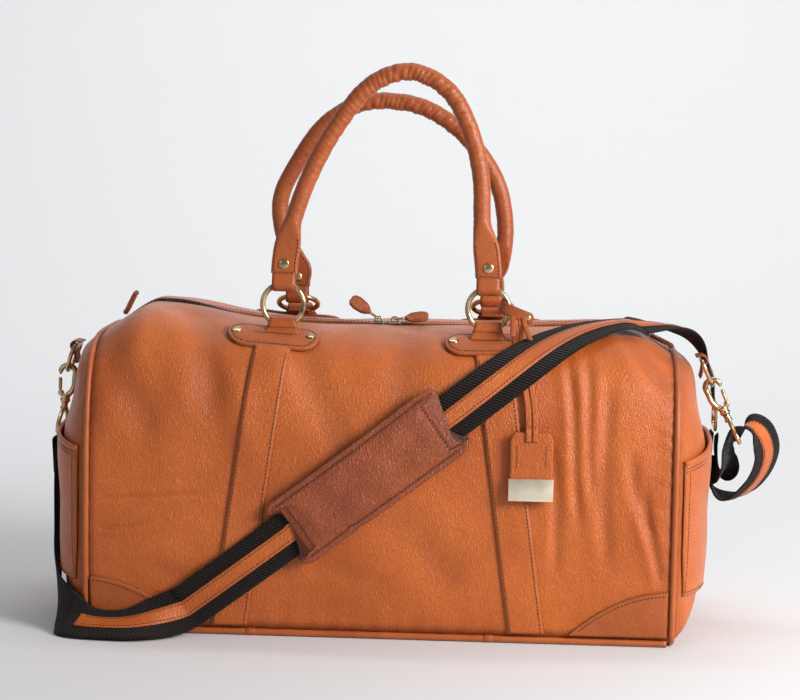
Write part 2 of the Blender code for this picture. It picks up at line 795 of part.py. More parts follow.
def free_rows(frames, width, out=0.0):
    """Rows across a hanging strap, from frames of (centre, direction to its upper edge), moved out."""
    centres = [Vector(c) for c, _ in frames]
    rows = []
    for i, (centre, across) in enumerate(frames):
        across = Vector(across).normalized()
        ahead = centres[min(i + 1, len(centres) - 1)] - centres[max(i - 1, 0)]
        middle = Vector(centre) + ahead.cross(across).normalized() * out
        rows.append([middle + across * width * k / 2 for k in ACROSS])
    return rows


def strap_row(x, width, out):
    """A row across the strap where its middle crosses the bag's skin at x."""
    share = (STRAP_ARC + (x - STRAP_X) * math.tan(STRAP_SLOPE)) / GIRTH
    row = []
    for k in ACROSS:
        across = width / 2 * k
        rise = across * math.cos(STRAP_SLOPE) / GIRTH
        row.append(skin(x - across * math.sin(STRAP_SLOPE), share + rise, out))
    return row


def strap_frame(x):
    """(centre, direction to the upper edge) of the strap where it crosses the bag at x."""
    row = strap_row(x, WEB_WIDTH, STRAP_OUT)
    return row[2], row[4] - row[0]


LEFT_HANG = [((-0.3015, -0.016, 0.1520), (0, -1, 0)),
             ((-0.3030, -0.020, 0.1200), (0, -1, 0)),
             ((-0.3035, -0.032, 0.0800), (0, -0.98, 0.15)),
             ((-0.3025, -0.055, 0.0480), (0.03, -0.85, 0.50)),
             ((-0.2990, -0.085, 0.0280), (0.10, -0.50, 0.80)),
             ((-0.2930, -0.115, 0.0200), (0.28, 0.10, 0.72)),
             ((-0.2770, -0.1385, 0.0130), (0.40, 0.60, 0.45)),
             ((-0.2480, -0.1445, 0.0105), (0.08, 0.90, 0.40)),
             ((-0.2070, -0.1465, 0.0125), (-0.20, 0.74, 0.52))]
RIGHT_DROP = [((0.2560, -0.0260, 0.2775), (-0.55, 0.80, -0.05)),
              ((0.2750, -0.0050, 0.2680), (-0.35, 0.92, -0.10)),
              ((0.2890, 0.0150, 0.2460), (-0.10, 0.98, 0.12)),
              ((0.2955, 0.0270, 0.2220), (0.0, 1.0, 0.08)),
              ((0.2965, 0.0300, 0.2040), (0.0, 1.0, 0.0))]
SLACK_LOOP = [(0.2965, 0.030, 0.1730), (0.2950, 0.029, 0.1550), (0.2945, 0.027, 0.1380),
              (0.2985, 0.024, 0.1215), (0.3100, 0.020, 0.1135), (0.3250, 0.014, 0.1180),
              (0.3390, 0.006, 0.1350), (0.3450, -0.003, 0.1560), (0.3400, -0.011, 0.1740),
              (0.3290, -0.016, 0.1830), (0.3175, -0.016, 0.1792), (0.3095, -0.016, 0.1660),
              (0.3085, -0.008, 0.1500), (0.3065, 0.006, 0.1400), (0.3025, 0.018, 0.1400),
              (0.3005, 0.027, 0.1560), (0.3010, 0.030, 0.1700)]


def strap_rows(width, out, end):
    """Rows of the strap from the left eye, round the corner, across the front and over the right shoulder."""
    first, last, count = -0.168, 0.222, 23
    xs = [first + (last - first) * i / count for i in range(count + 1)]
    hang = free_rows(blend_frames(LEFT_HANG + [strap_frame(first)], 3), width, out)
    drop = free_rows(blend_frames([strap_frame(last)] + RIGHT_DROP, 2), width, out)
    run = [strap_row(x, width, STRAP_OUT + out) for x in xs]
    return hang[:-1] + run + drop[1:end]


def blend_frames(keys, parts):
    """A smooth run of frames through the keys, with parts steps between each two."""
    count = (len(keys) - 1) * parts
    centres = smooth_route([c for c, _ in keys], count)
    acrosses = smooth_route([Vector(a).normalized() for _, a in keys], count)
    return list(zip(centres, acrosses))


def shoulder_strap():
    ribbon("strap_webbing", strap_rows(WEB_WIDTH, 0.0, None), WEB, WEBBING)
    ribbon("strap_leather", strap_rows(STRIPE_WIDTH, WEB / 2 + 0.0018, -2), 0.0012, LEATHER_TAN)
    loop = [(centre, Vector((0, 1, 0))) for centre in smooth_route(SLACK_LOOP, 48)]
    ribbon("strap_slack_loop", free_rows(loop, WEB_WIDTH - 0.002), WEB, WEBBING)


def strap_adjuster():
    """A three-bar slide that shortens the strap."""
    centre = Vector(ADJUSTER_CENTRE)
    frame = box("strap_adjuster", ADJUSTER_SIZE, centre)
    for place, rise in (("lower", -ADJUSTER_SLOT_RISE), ("upper", ADJUSTER_SLOT_RISE)):
        slot = box("adjuster_slot_" + place, ADJUSTER_SLOT, centre + Vector((0, 0, rise)))
        boolean(frame, slot, "DIFFERENCE")
    return finish(frame, BRASS)


def shoulder_pad():
    """A leather sleeve on the strap: a padded front, a thin back and two closed sides."""
    along, rise = math.cos(STRAP_SLOPE), math.sin(STRAP_SLOPE)
    steps = 10
    outs = {"back": STRAP_OUT - PAD_SLOT / 2 + 0.0010, "front": STRAP_OUT + PAD_SLOT / 2 + 0.0010}
    layers = [outs["back"] - PAD_WALL, outs["back"], outs["front"], outs["front"] + PAD_FILLING]

    def spot(run, across, out):
        x = STRAP_X + run * along - across * rise
        arc = STRAP_ARC + run * rise + across * along
        return skin(x, arc / GIRTH, out)

    edge, slot = PAD_WIDTH / 2, PAD_WIDTH / 2 - 0.0085
    ring = [(edge * k, 0) for k in ACROSS] + [(-edge * k, 3) for k in ACROSS]
    hole = [(slot * k, 1) for k in ACROSS] + [(-slot * k, 2) for k in ACROSS]
    count = len(ring)
    points = []
    for i in range(steps + 1):
        run = PAD_LENGTH * (i / steps - 0.5)
        points.extend(spot(run, across, layers[k]) for across, k in ring + hole)
    faces = []
    last = 2 * count * steps
    for k in range(count):
        n = (k + 1) % count
        faces.append((n, k, count + k, count + n))
        faces.append((last + k, last + n, last + count + n, last + count + k))
        for i in range(steps):
            low, high = 2 * count * i, 2 * count * (i + 1)
            faces.append((low + k, low + n, high + n, high + k))
            faces.append((low + count + n, low + count + k, high + count + k, high + count + n))
    piece = mesh_object("shoulder_pad", points, faces)
    weld(piece.data)
    return finish(piece, LEATHER_DARK)


# Luggage tag

def tag():
    """A leather tag with a plain metal band, and the thong that ties it to the front right ring."""
    x, y, top = TAG_X, TAG_Y, TAG_TOP
    leather = box("tag_leather", (TAG_WIDTH, TAG_THICKNESS, top - TAG_BOTTOM), (x, y, (top + TAG_BOTTOM) / 2))
    round_edges(leather, 0.0008, 1)
    slot = box("tag_slot", (0.008, 0.02, 0.0030), (x, y, top - 0.006))
    boolean(leather, slot, "DIFFERENCE")
    finish(leather, LEATHER_DARK)
    plate = box("tag_plate", PLATE_SIZE, (x, y - 0.0022, TAG_BOTTOM + 0.0095))
    finish(plate, BRASS)
    for piece in (leather, slot, plate):
        origin_at(piece, (x, y, top))
    rows = []
    for s in steps_between(0.512, 0.708):
        middle = 0.1320 - 0.012 * smooth((s - 0.512) / 0.22)
        rows.append([(middle + k * 0.0040, s, 0.0037) for k in (-1, 1)])
    skin_patch("tag_strap", rows, 0.0012, LEATHER_DARK)


def build():
    for name, side in (("front", -1), ("back", 1)):
        long_panel(name + "_panel", side)
    bottom_pieces()
    lining()
    shoulder_strap()
    strap_adjuster()
    shoulder_pad()
    tag()
    for name, side in (("left", -1), ("right", 1)):
        end_panel("end_panel_" + name, side)
        end_pocket("end_pocket_" + name, side)
        piping_loop("piping_" + name, side)
        d_ring_tab("d_ring_tab_" + name, side)
    for name, side in (("front", -1), ("rear", 1)):
        piping_run("piping_" + name, side)
        zip_half("zip_half_" + name, side)
        for hand_name, hand in (("left", -1), ("right", 1)):
            strip(f"strip_{name}_{hand_name}", side, hand)
            corner_patch(f"corner_patch_{name}_{hand_name}", side, hand)
            anchor(f"handle_anchor_{name}_{hand_name}", side, hand)
            pin = handle_ring(f"ring_{name}_{hand_name}", side, hand, 0.0 if side < 0 else REAR_TILT)
        handle("handle_" + name, pin, FRONT_ARCH if side < 0 else REAR_ARCH)
    zip_pull("zip_pull_left", zip_slider("zip_slider_left", LEFT_SLIDER_X), math.radians(145))
    zip_pull("zip_pull_right", zip_slider("zip_slider_right", RIGHT_SLIDER_X), math.radians(6))
    zip_end_tab("zip_end_tab_left", -0.2395, math.radians(-62), 0.0105)
    zip_end_tab("zip_end_tab_right", 0.2470, math.radians(27), 0.0046)
    hook("left", -1, d_ring("d_ring_left", -1, math.radians(20)), math.radians(6))
    hook("right", 1, d_ring("d_ring_right", 1, math.radians(24)), math.radians(27))


build()
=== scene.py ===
"""Looks of the leather weekender bag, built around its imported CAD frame. Metres, +X right, -Y front, +Z up."""
import math

import bmesh
import bpy
import numpy as np
from mathutils import Matrix, Vector


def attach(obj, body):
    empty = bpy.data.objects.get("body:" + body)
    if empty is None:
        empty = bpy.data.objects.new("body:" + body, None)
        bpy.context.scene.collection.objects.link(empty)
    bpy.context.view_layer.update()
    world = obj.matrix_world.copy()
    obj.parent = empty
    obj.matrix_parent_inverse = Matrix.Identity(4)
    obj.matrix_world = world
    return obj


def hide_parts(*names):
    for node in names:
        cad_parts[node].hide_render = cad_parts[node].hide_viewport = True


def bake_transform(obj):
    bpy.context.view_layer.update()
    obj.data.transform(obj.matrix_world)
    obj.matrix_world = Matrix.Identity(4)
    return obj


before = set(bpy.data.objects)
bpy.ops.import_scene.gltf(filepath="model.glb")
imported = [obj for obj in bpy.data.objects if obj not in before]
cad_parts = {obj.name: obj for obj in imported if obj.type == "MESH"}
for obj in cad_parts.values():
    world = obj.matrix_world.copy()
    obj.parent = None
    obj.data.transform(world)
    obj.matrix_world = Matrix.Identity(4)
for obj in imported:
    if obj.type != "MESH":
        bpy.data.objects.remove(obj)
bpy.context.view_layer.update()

FRONT, REAR = -1, 1
ROOT = "root"

# The body, as the CAD has it
HALF_LENGTH = 0.258
HALF_DEPTH = 0.128
FOOT_HALF_DEPTH = 0.119
FOOT_HEIGHT = 0.0078
BELLY_HEIGHT = 0.100
RIDGE_HEIGHT = 0.268
SHOULDER_POWER = 4.2
LEFT_BULGE, RIGHT_BULGE = 0.029, 0.025
UPPER_SLACK = 0.35
END_MIDDLE = (0.0, 0.115)
SEAM_GAP = 0.0036
PIPING = 0.0029
ANCHOR_S = 0.752
RING_X, RING_Y, RING_FOOT_Z = 0.091, 0.076, 0.2715
RING_RADIUS, RING_WIRE = 0.0183, 0.0024
REAR_TILT = math.radians(64)
STRAP_OUT, WEB_WIDTH, WEB = 0.0072, 0.040, 0.0022
STRAP_SLOPE = math.radians(37.0)
STRAP_X, STRAP_ARC = -0.009, 0.138
STRIPE_WIDTH = 0.0148


# Camera, light and stage

def camera():
    """Stands at the front, a little to the right and above, with a long lens and a slight roll."""
    turn, rise, roll, away = math.radians(3.5), math.radians(6.0), math.radians(1.0), 2.4
    back = Vector((math.sin(turn) * math.cos(rise), -math.cos(turn) * math.cos(rise), math.sin(rise)))
    data = bpy.data.cameras.new("camera")
    data.lens = 118
    data.sensor_width = 36
    eye = bpy.data.objects.new("camera", data)
    bpy.context.scene.collection.objects.link(eye)
    aim = Vector((0.0088, 0.0, 0.2436))
    facing = (-back).to_track_quat("-Z", "Y").to_matrix().to_4x4()
    eye.matrix_world = Matrix.Translation(aim + away * back) @ facing @ Matrix.Rotation(roll, 4, "Z")
    bpy.context.scene.camera = eye


def area_light(name, place, aim, size, power, colour=(1.0, 1.0, 1.0)):
    data = bpy.data.lights.new(name, "AREA")
    data.shape = "RECTANGLE"
    data.size, data.size_y = size
    data.energy = power
    data.color = colour
    lamp = bpy.data.objects.new(name, data)
    bpy.context.scene.collection.objects.link(lamp)
    lamp.location = place
    lamp.rotation_euler = (Vector(aim) - Vector(place)).to_track_quat("-Z", "Y").to_euler()


def stage():
    """A pale sweep: a floor that curves up into a back wall, lit by soft boxes."""
    profile = [(-6.0, 0.0), (1.6, 0.0)]
    profile += [(1.6 + 1.2 * math.sin(a), 1.2 - 1.2 * math.cos(a)) for a in np.linspace(0.1, math.pi / 2, 12)]
    profile.append((2.8, 6.0))
    rows = [[(x, y, z) for x in (-8.0, 8.0)] for y, z in profile]
    sweep = grid_object("stage_sweep", np.array(rows), flip=True)
    sweep.data.materials.append(sweep_paper())
    area_light("key", (1.45, -1.0, 0.9), (0.20, 0, 0.15), (0.7, 0.7), 46, (1.0, 0.98, 0.95))
    area_light("fill", (-2.0, -2.4, 1.0), (0, 0, 0.15), (1.6, 1.2), 5, (0.97, 0.98, 1.0))
    area_light("top", (0.1, 0.2, 2.4), (0, 0, 0.2), (1.8, 1.2), 4)
    area_light("wall", (0.0, 0.7, 2.8), (0, 2.8, 1.3), (3.0, 1.0), 46)
    world = bpy.data.worlds.new("studio")
    world.use_nodes = True
    world.node_tree.nodes["Background"].inputs["Color"].default_value = (0.93, 0.95, 1.0, 1.0)
    world.node_tree.nodes["Background"].inputs["Strength"].default_value = 0.27
    bpy.context.scene.world = world
    bpy.context.scene.view_settings.view_transform = "Standard"


# Mesh helpers

def link(thing):
    bpy.context.scene.collection.objects.link(thing)
    return thing


def grid_object(name, points, flip=False, wrap_u=False, wrap_v=False, caps=False, skip=None, uv=None, marks=None):
    """A mesh over an array of points [row][column][xyz], open or wrapped either way."""
    rows, columns = points.shape[:2]
    i = np.arange(rows if wrap_u else rows - 1)
    j = np.arange(columns if wrap_v else columns - 1)
    a, b = np.meshgrid(i, j, indexing="ij")
    a2, b2 = (a + 1) % rows, (b + 1) % columns
    quads = np.stack([a * columns + b, a * columns + b2, a2 * columns + b2, a2 * columns + b], -1)
    if skip is not None:
        quads = quads[~skip[:quads.shape[0], :quads.shape[1]]]
    quads = quads.reshape(-1, 4)
    if flip:
        quads = quads[:, ::-1]
    faces = quads.tolist()
    if caps:
        first, last = list(range(columns)), list(range((rows - 1) * columns, rows * columns))
        faces += [first if flip else first[::-1], last[::-1] if flip else last]
    mesh = bpy.data.meshes.new(name)
    mesh.from_pydata(points.reshape(-1, 3).tolist(), [], faces)
    if uv is not None:
        layer = mesh.uv_layers.new(name="UVMap")
        spots = np.empty(len(mesh.loops), dtype=np.int32)
        mesh.loops.foreach_get("vertex_index", spots)
        layer.data.foreach_set("uv", uv.reshape(-1, 2)[spots].astype(np.float32).ravel())
    if marks is not None:
        # The crease attribute carries darker edges and seams, and painted shade in folds, wrinkles and grooves.
        layer = mesh.attributes.new("crease", "FLOAT", "POINT")
        layer.data.foreach_set("value", marks.reshape(-1).astype(np.float32))
    mesh.shade_smooth()
    return link(bpy.data.objects.new(name, mesh))


def thicken(thing, depth, offset=-1.0):
    step = thing.modifiers.new("thickness", "SOLIDIFY")
    step.thickness = depth
    step.offset = offset


def soften(thing, width, segments=2, angle=50):
    step = thing.modifiers.new("edges", "BEVEL")
    step.width = width
    step.segments = segments
    step.limit_method = "ANGLE"
    step.angle_limit = math.radians(angle)


def dress(thing, look, body=ROOT, stands_for=()):
    """Gives a piece its material and slot, the body it rides on and the CAD nodes it stands for."""
    thing.data.materials.append(look)
    if isinstance(body, str):
        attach(thing, body)
    if stands_for:
        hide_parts(*stands_for)
    return thing


def joined(name, parts):
    """One mesh object from several, in the first one's place."""
    mesh = bpy.data.meshes.new(name)
    shape = bmesh.new()
    for part in parts:
        part_mesh = part.data
        part_mesh.transform(part.matrix_world)
        shape.from_mesh(part_mesh)
        bpy.data.objects.remove(part, do_unlink=True)
    shape.to_mesh(mesh)
    shape.free()
    mesh.shade_smooth()
    return link(bpy.data.objects.new(name, mesh))


def catmull(keys, count):
    """count points, evenly shared along a smooth curve through the keys (an array of any width)."""
    keys = np.asarray(keys, float)
    ends = np.vstack([2 * keys[0] - keys[1], keys, 2 * keys[-1] - keys[-2]])
    fine = np.linspace(0, len(keys) - 1, 40 * len(keys))
    i = np.minimum(fine.astype(int), len(keys) - 2)
    t = (fine - i)[:, None]
    a, b, c, d = ends[i], ends[i + 1], ends[i + 2], ends[i + 3]
    curve = 0.5 * (2 * b + (c - a) * t + (2 * a - 5 * b + 4 * c - d) * t ** 2 + (3 * b - a - 3 * c + d) * t ** 3)
    run = np.concatenate([[0], np.cumsum(np.linalg.norm(np.diff(curve[:, :3], axis=0), axis=1))])
    even = np.linspace(0, run[-1], count)
    return np.stack([np.interp(even, run, curve[:, k]) for k in range(keys.shape[1])], 1), run[-1]


def unit(v):
    v = np.asarray(v, float)
    return v / np.maximum(np.linalg.norm(v, axis=-1, keepdims=True), 1e-12)


def carried_frames(centres, first_side, closed=False):
    """Side and normal directions carried along a curve without twist."""
    ahead = np.roll(centres, -1, 0) - np.roll(centres, 1, 0)
    if not closed:
        ahead[0], ahead[-1] = centres[1] - centres[0], centres[-1] - centres[-2]
    ahead = unit(ahead)
    side = np.empty_like(centres)
    now = np.asarray(first_side, float)
    for k, d in enumerate(ahead):
        now = unit(now - d * now.dot(d))
        side[k] = now
    return side, np.cross(ahead, side)


def tube(name, centres, radius, sides=16, closed=False, first_side=None, squash=1.0):
    """A round wire; radius may be one number or one for each point."""
    centres = np.asarray(centres, float)
    if first_side is None:
        first = centres[1] - centres[0]
        first_side = np.cross(first, (0.0, 0.0, 1.0) if abs(first[2]) < 0.8 * np.linalg.norm(first) else (0.0, 1.0, 0.0))
    side, normal = carried_frames(centres, unit(first_side), closed)
    turns = np.linspace(0, 2 * math.pi, sides, endpoint=False)
    reach = np.broadcast_to(np.asarray(radius, float), (len(centres),))[:, None, None]
    around = side[:, None] * np.cos(turns)[None, :, None] + normal[:, None] * np.sin(turns)[None, :, None] * squash
    points = centres[:, None] + reach * around
    return grid_object(name, points, wrap_u=closed, wrap_v=True, caps=not closed)


def turned(name, profile, place, direction, sides=28):
    """A solid of revolution from (radius, height) pairs, bottom to top, standing at place along direction."""
    turns = np.linspace(0, 2 * math.pi, sides, endpoint=False)
    points = np.array([[(r * math.cos(a), r * math.sin(a), h) for a in turns] for r, h in profile])
    piece = grid_object(name, points, wrap_v=True, caps=True)
    turn = Vector((0, 0, 1)).rotation_difference(Vector(direction)).to_matrix().to_4x4()
    piece.data.transform(Matrix.Translation(Vector(place)) @ turn)
    return piece


def slab(name, size, place, turn=None, bevel=0.0006, segments=3):
    """A block with rounded edges."""
    shape = bmesh.new()
    bmesh.ops.create_cube(shape, size=1.0)
    bmesh.ops.scale(shape, vec=size, verts=shape.verts)
    bmesh.ops.bevel(shape, geom=shape.edges[:], offset=bevel, segments=segments, affect="EDGES", profile=0.5)
    mesh = bpy.data.meshes.new(name)
    shape.to_mesh(mesh)
    shape.free()
    if turn is not None:
        mesh.transform(turn)
    mesh.transform(Matrix.Translation(Vector(place)))
    mesh.shade_smooth()
    return link(bpy.data.objects.new(name, mesh))


# Materials

class Nodes:
    """Short names for building a node tree."""

    def __init__(self, name):
        self.material = bpy.data.materials.new(name)
        self.material.use_nodes = True
        self.tree = self.material.node_tree
        self.shader = self.tree.nodes["Principled BSDF"]

    def add(self, kind, **settings):
        node = self.tree.nodes.new(kind)
        for key, value in settings.items():
            if key in node.inputs:
                node.inputs[key].default_value = value
            else:
                setattr(node, key, value)
        return node

    def wire(self, source, target):
        self.tree.links.new(source, target)

    def math(self, operation, a, b=None, c=None):
        node = self.add("ShaderNodeMath", operation=operation)
        for socket, value in zip(node.inputs, (a, b, c)):
            if value is None:
                continue
            if isinstance(value, (int, float)):
                socket.default_value = value
            else:
                self.wire(value, socket)
        return node.outputs[0]

    def noise(self, vector, scale, detail=2.0, rough=0.5):
        node = self.add("ShaderNodeTexNoise", Scale=scale, Detail=detail, Roughness=rough)
        self.wire(vector, node.inputs["Vector"])
        return node.outputs["Fac"]

    def ramp(self, fac, stops):
        node = self.add("ShaderNodeValToRGB")
        while len(node.color_ramp.elements) < len(stops):
            node.color_ramp.elements.new(0.5)
        for element, (place, colour) in zip(node.color_ramp.elements, stops):
            element.position = place
            element.color = (*colour, 1.0) if len(colour) == 3 else colour
        self.wire(fac, node.inputs["Fac"])
        return node.outputs["Color"]

    def mix(self, fac, a, b, kind="MIX"):
        node = self.add("ShaderNodeMix", data_type="RGBA", blend_type=kind)
        for socket, value in ((node.inputs["Factor"], fac), (node.inputs["A"], a), (node.inputs["B"], b)):
            if isinstance(value, (int, float)):
                socket.default_value = value
            elif isinstance(value, tuple):
                socket.default_value = (*value, 1.0)
            else:
                self.wire(value, socket)
        return node.outputs["Result"]

    def bump(self, height, strength, distance, before=None):
        node = self.add("ShaderNodeBump", Strength=strength, Distance=distance)
        self.wire(height, node.inputs["Height"])
        if before is not None:
            self.wire(before, node.inputs["Normal"])
        return node.outputs["Normal"]


def mix_input(node, name):
    return next(s for s in node.inputs if s.name == name and s.type == "RGBA")


def plain_material(name, colour, roughness):
    n = Nodes(name)
    spot = n.add("ShaderNodeTexCoord").outputs["Object"]
    tone = n.ramp(n.noise(spot, 3.0), [(0.3, tuple(0.985 * c for c in colour)), (0.7, colour)])
    n.wire(tone, n.shader.inputs["Base Color"])
    n.shader.inputs["Roughness"].default_value = roughness
    return n.material


def sweep_paper():
    """Pale paper, painted darker on the floor than on the wall as painted shade that tones down the brightly lit floor.
    """
    n = Nodes("stage_paper")
    apart = n.add("ShaderNodeSeparateXYZ")
    n.wire(n.add("ShaderNodeTexCoord").outputs["Object"], apart.inputs[0])
    # Painted shade: the ramp darkens the floor and keeps the wall pale.
    back = n.math("MULTIPLY_ADD", apart.outputs["Y"], 0.4, 0.1)
    n.wire(n.ramp(back, [(0.05, (0.67, 0.67, 0.685)), (0.75, (0.86, 0.87, 0.88))]), n.shader.inputs["Base Color"])
    n.shader.inputs["Roughness"].default_value = 0.9
    return n.material


def leather(name, light, deep, gloss=0.42, grain=1.0, mottle=1.0):
    """Milled leather: pebbled grain and soft mottling, with painted shade in the grain's hollows and in the marked
    folds and grooves, and darker edges and seams.
    """
    n = Nodes(name)
    spot = n.add("ShaderNodeTexCoord").outputs["Object"]
    broad = n.noise(spot, 9.0, 3.0)
    patchy = n.noise(spot, 55.0, 4.0, 0.6)
    fine = n.noise(spot, 900.0, 2.0)
    stretched = n.add("ShaderNodeMapping")
    n.wire(spot, stretched.inputs["Vector"])
    stretched.inputs["Rotation"].default_value = (0.0, 0.5, 0.0)
    stretched.inputs["Scale"].default_value = (1.0, 1.0, 0.55)
    milled = n.noise(stretched.outputs["Vector"], 330.0, 3.0, 0.6)
    cells = n.add("ShaderNodeTexVoronoi", feature="DISTANCE_TO_EDGE", Scale=620.0)
    warp = n.add("ShaderNodeVectorMath", operation="MULTIPLY_ADD")
    n.wire(n.add_noise_colour(spot, 260.0), warp.inputs[0])
    warp.inputs[1].default_value = (0.0012, 0.0012, 0.0012)
    n.wire(spot, warp.inputs[2])
    n.wire(warp.outputs[0], cells.inputs["Vector"])
    pebble = n.math("MINIMUM", n.math("MULTIPLY", cells.outputs["Distance"], 2.6), 1.0)
    tone = n.ramp(broad, [(0.30, deep), (0.72, light)])
    tone = n.mix(n.math("MULTIPLY", n.math("SUBTRACT", patchy, 0.40), 1.3 * mottle), tone, deep)
    # Painted shade in the crevices between the pebbles.
    painted_pebble_shade = n.math("MULTIPLY", n.math("SUBTRACT", 1.0, pebble), 0.20)
    tone = n.mix(painted_pebble_shade, tone, tuple(0.45 * c for c in deep))
    # Darkens by the crease attribute: darker edges and seams, and painted shade in folds, wrinkles and grooves.
    crease = n.add("ShaderNodeAttribute", attribute_name="crease").outputs["Fac"]
    tone = n.mix(n.math("MULTIPLY", crease, 0.72), tone, tuple(0.28 * c for c in deep))
    # Painted shade along the valleys of the milled grain.
    painted_milled_shade = n.math("MULTIPLY", n.math("SUBTRACT", 0.05, n.math("ABSOLUTE", n.math("SUBTRACT", milled, 0.5))), 6.0 * grain)
    tone = n.mix(n.math("MAXIMUM", painted_milled_shade, 0.0), tone, tuple(0.55 * c for c in deep))
    n.wire(tone, n.shader.inputs["Base Color"])
    rough = n.math("ADD", n.math("MULTIPLY", patchy, 0.22), gloss - 0.11)
    n.wire(rough, n.shader.inputs["Roughness"])
    first = n.bump(patchy, 0.30, 0.0020)
    milled_bump = n.bump(n.math("ABSOLUTE", n.math("SUBTRACT", milled, 0.5)), 0.75 * grain, 0.0016, first)
    second = n.bump(pebble, 0.50 * grain, 0.00035, milled_bump)
    third = n.bump(fine, 0.30 * grain, 0.00012, second)
    n.wire(third, n.shader.inputs["Normal"])
    n.shader.inputs["Specular IOR Level"].default_value = 0.46
    n.shader.inputs["Sheen Weight"].default_value = 0.04
    return n.material


def add_noise_colour(self, vector, scale):
    node = self.add("ShaderNodeTexNoise", Scale=scale, Detail=1.0)
    self.wire(vector, node.inputs["Vector"])
    return node.outputs["Color"]


Nodes.add_noise_colour = add_noise_colour


def brass(name, tone=(0.66, 0.50, 0.28), aged=(0.16, 0.10, 0.05), rough=0.22):
    """Antiqued brass: polished, with faint scratches and darker bloom."""
    n = Nodes(name)
    spot = n.add("ShaderNodeTexCoord").outputs["Object"]
    bloom = n.noise(spot, 70.0, 3.0, 0.55)
    n.wire(n.ramp(bloom, [(0.28, aged), (0.52, tone), (0.8, tuple(min(1, 1.12 * c) for c in tone))]),
           n.shader.inputs["Base Color"])
    n.wire(n.math("ADD", n.math("MULTIPLY", bloom, 0.22), rough - 0.08), n.shader.inputs["Roughness"])
    n.wire(n.bump(n.noise(spot, 1400.0, 3.0), 0.06, 0.00003), n.shader.inputs["Normal"])
    n.shader.inputs["Metallic"].default_value = 1.0
    return n.material


def cloth(name, tone, thread_scale, rough=0.85):
    """A plain weave in object space, for lining, board and zip tape."""
    n = Nodes(name)
    spot = n.add("ShaderNodeTexCoord").outputs["Object"]
    parts = n.add("ShaderNodeSeparateXYZ")
    n.wire(spot, parts.inputs[0])
    across = n.math("SINE", n.math("MULTIPLY", parts.outputs[0], thread_scale))
    down = n.math("SINE", n.math("MULTIPLY", n.math("ADD", parts.outputs[1], parts.outputs[2]), thread_scale))
    weave = n.math("MULTIPLY", across, down)
    fuzz = n.noise(spot, 500.0, 3.0)
    shade = n.math("ADD", n.math("MULTIPLY", weave, 0.3), fuzz)
    n.wire(n.ramp(shade, [(0.2, tuple(0.55 * c for c in tone)), (0.9, tuple(1.35 * c for c in tone))]),
           n.shader.inputs["Base Color"])
    n.wire(n.bump(shade, 0.5, 0.0003), n.shader.inputs["Normal"])
    n.shader.inputs["Roughness"].default_value = rough
    return n.material


def herringbone(name):
    """Black herringbone webbing, from the strap's own lengthways and crossways coordinates."""
    n = Nodes(name)
    uv = n.add("ShaderNodeUVMap", uv_map="UVMap").outputs["UV"]
    parts = n.add("ShaderNodeSeparateXYZ")
    n.wire(uv, parts.inputs[0])
    u, v = parts.outputs[0], parts.outputs[1]
    zig = n.math("PINGPONG", u, 0.0125)
    slant = n.math("ADD", v, n.math("MULTIPLY", zig, 0.75))
    rib = n.math("SINE", n.math("MULTIPLY", slant, 2 * math.pi / 0.0030))
    cord = n.math("SINE", n.math("MULTIPLY", u, 2 * math.pi / 0.00125))
    relief = n.math("ADD", n.math("MULTIPLY", rib, 0.5), n.math("MULTIPLY", cord, 0.18))
    fuzz = n.noise(uv, 900.0, 3.0)
    shade = n.math("ADD", n.math("MULTIPLY", relief, 0.42), n.math("MULTIPLY", fuzz, 0.9))
    n.wire(n.ramp(shade, [(0.1, (0.002, 0.0013, 0.0012)), (0.55, (0.012, 0.008, 0.007)), (1.0, (0.040, 0.028, 0.024))]),
           n.shader.inputs["Base Color"])
    n.wire(n.bump(relief, 1.0, 0.0011, n.bump(fuzz, 0.5, 0.0004)), n.shader.inputs["Normal"])
    n.shader.inputs["Specular IOR Level"].default_value = 0.16
    n.shader.inputs["Roughness"].default_value = 0.8
    n.shader.inputs["Sheen Weight"].default_value = 0.06
    n.shader.inputs["Sheen Roughness"].default_value = 0.5
    return n.material


def thread_material(name, tone):
    n = Nodes(name)
    spot = n.add("ShaderNodeTexCoord").outputs["Object"]
    fuzz = n.noise(spot, 1500.0, 2.0)
    n.wire(n.ramp(fuzz, [(0.3, tuple(0.6 * c for c in tone)), (0.7, tone)]), n.shader.inputs["Base Color"])
    n.wire(n.bump(fuzz, 0.5, 0.0002), n.shader.inputs["Normal"])
    n.shader.inputs["Roughness"].default_value = 0.6
    return n.material


TAN = leather("tan_leather", (0.64, 0.152, 0.019), (0.46, 0.090, 0.009), gloss=0.36, grain=1.15)
PAD_LEATHER = leather("pad_leather", (0.42, 0.092, 0.018), (0.26, 0.045, 0.008), gloss=0.38, grain=1.7, mottle=1.2)
TRIM = leather("trim_leather", (0.51, 0.120, 0.020), (0.35, 0.070, 0.010), gloss=0.44, grain=0.8)
PIPED = leather("piped_leather", (0.54, 0.138, 0.026), (0.37, 0.078, 0.014), gloss=0.42, grain=0.6)
ROLLED = leather("rolled_leather", (0.50, 0.120, 0.024), (0.33, 0.066, 0.012), gloss=0.40, grain=0.6)
BRASS = brass("antique_brass")
PALE_BRASS = brass("pale_plate", (0.88, 0.80, 0.62), (0.80, 0.70, 0.50), 0.34)
WEBBING = herringbone("herringbone_webbing")
THREAD = thread_material("dark_thread", (0.060, 0.026, 0.016))
ZIP_CLOTH = cloth("zip_cloth", (0.020, 0.016, 0.015), 5200.0)
LINING = cloth("lining_cloth", (0.11, 0.07, 0.045), 3600.0)
BOARD = cloth("board_fibre", (0.10, 0.08, 0.06), 900.0, 0.95)


# The bag's skin

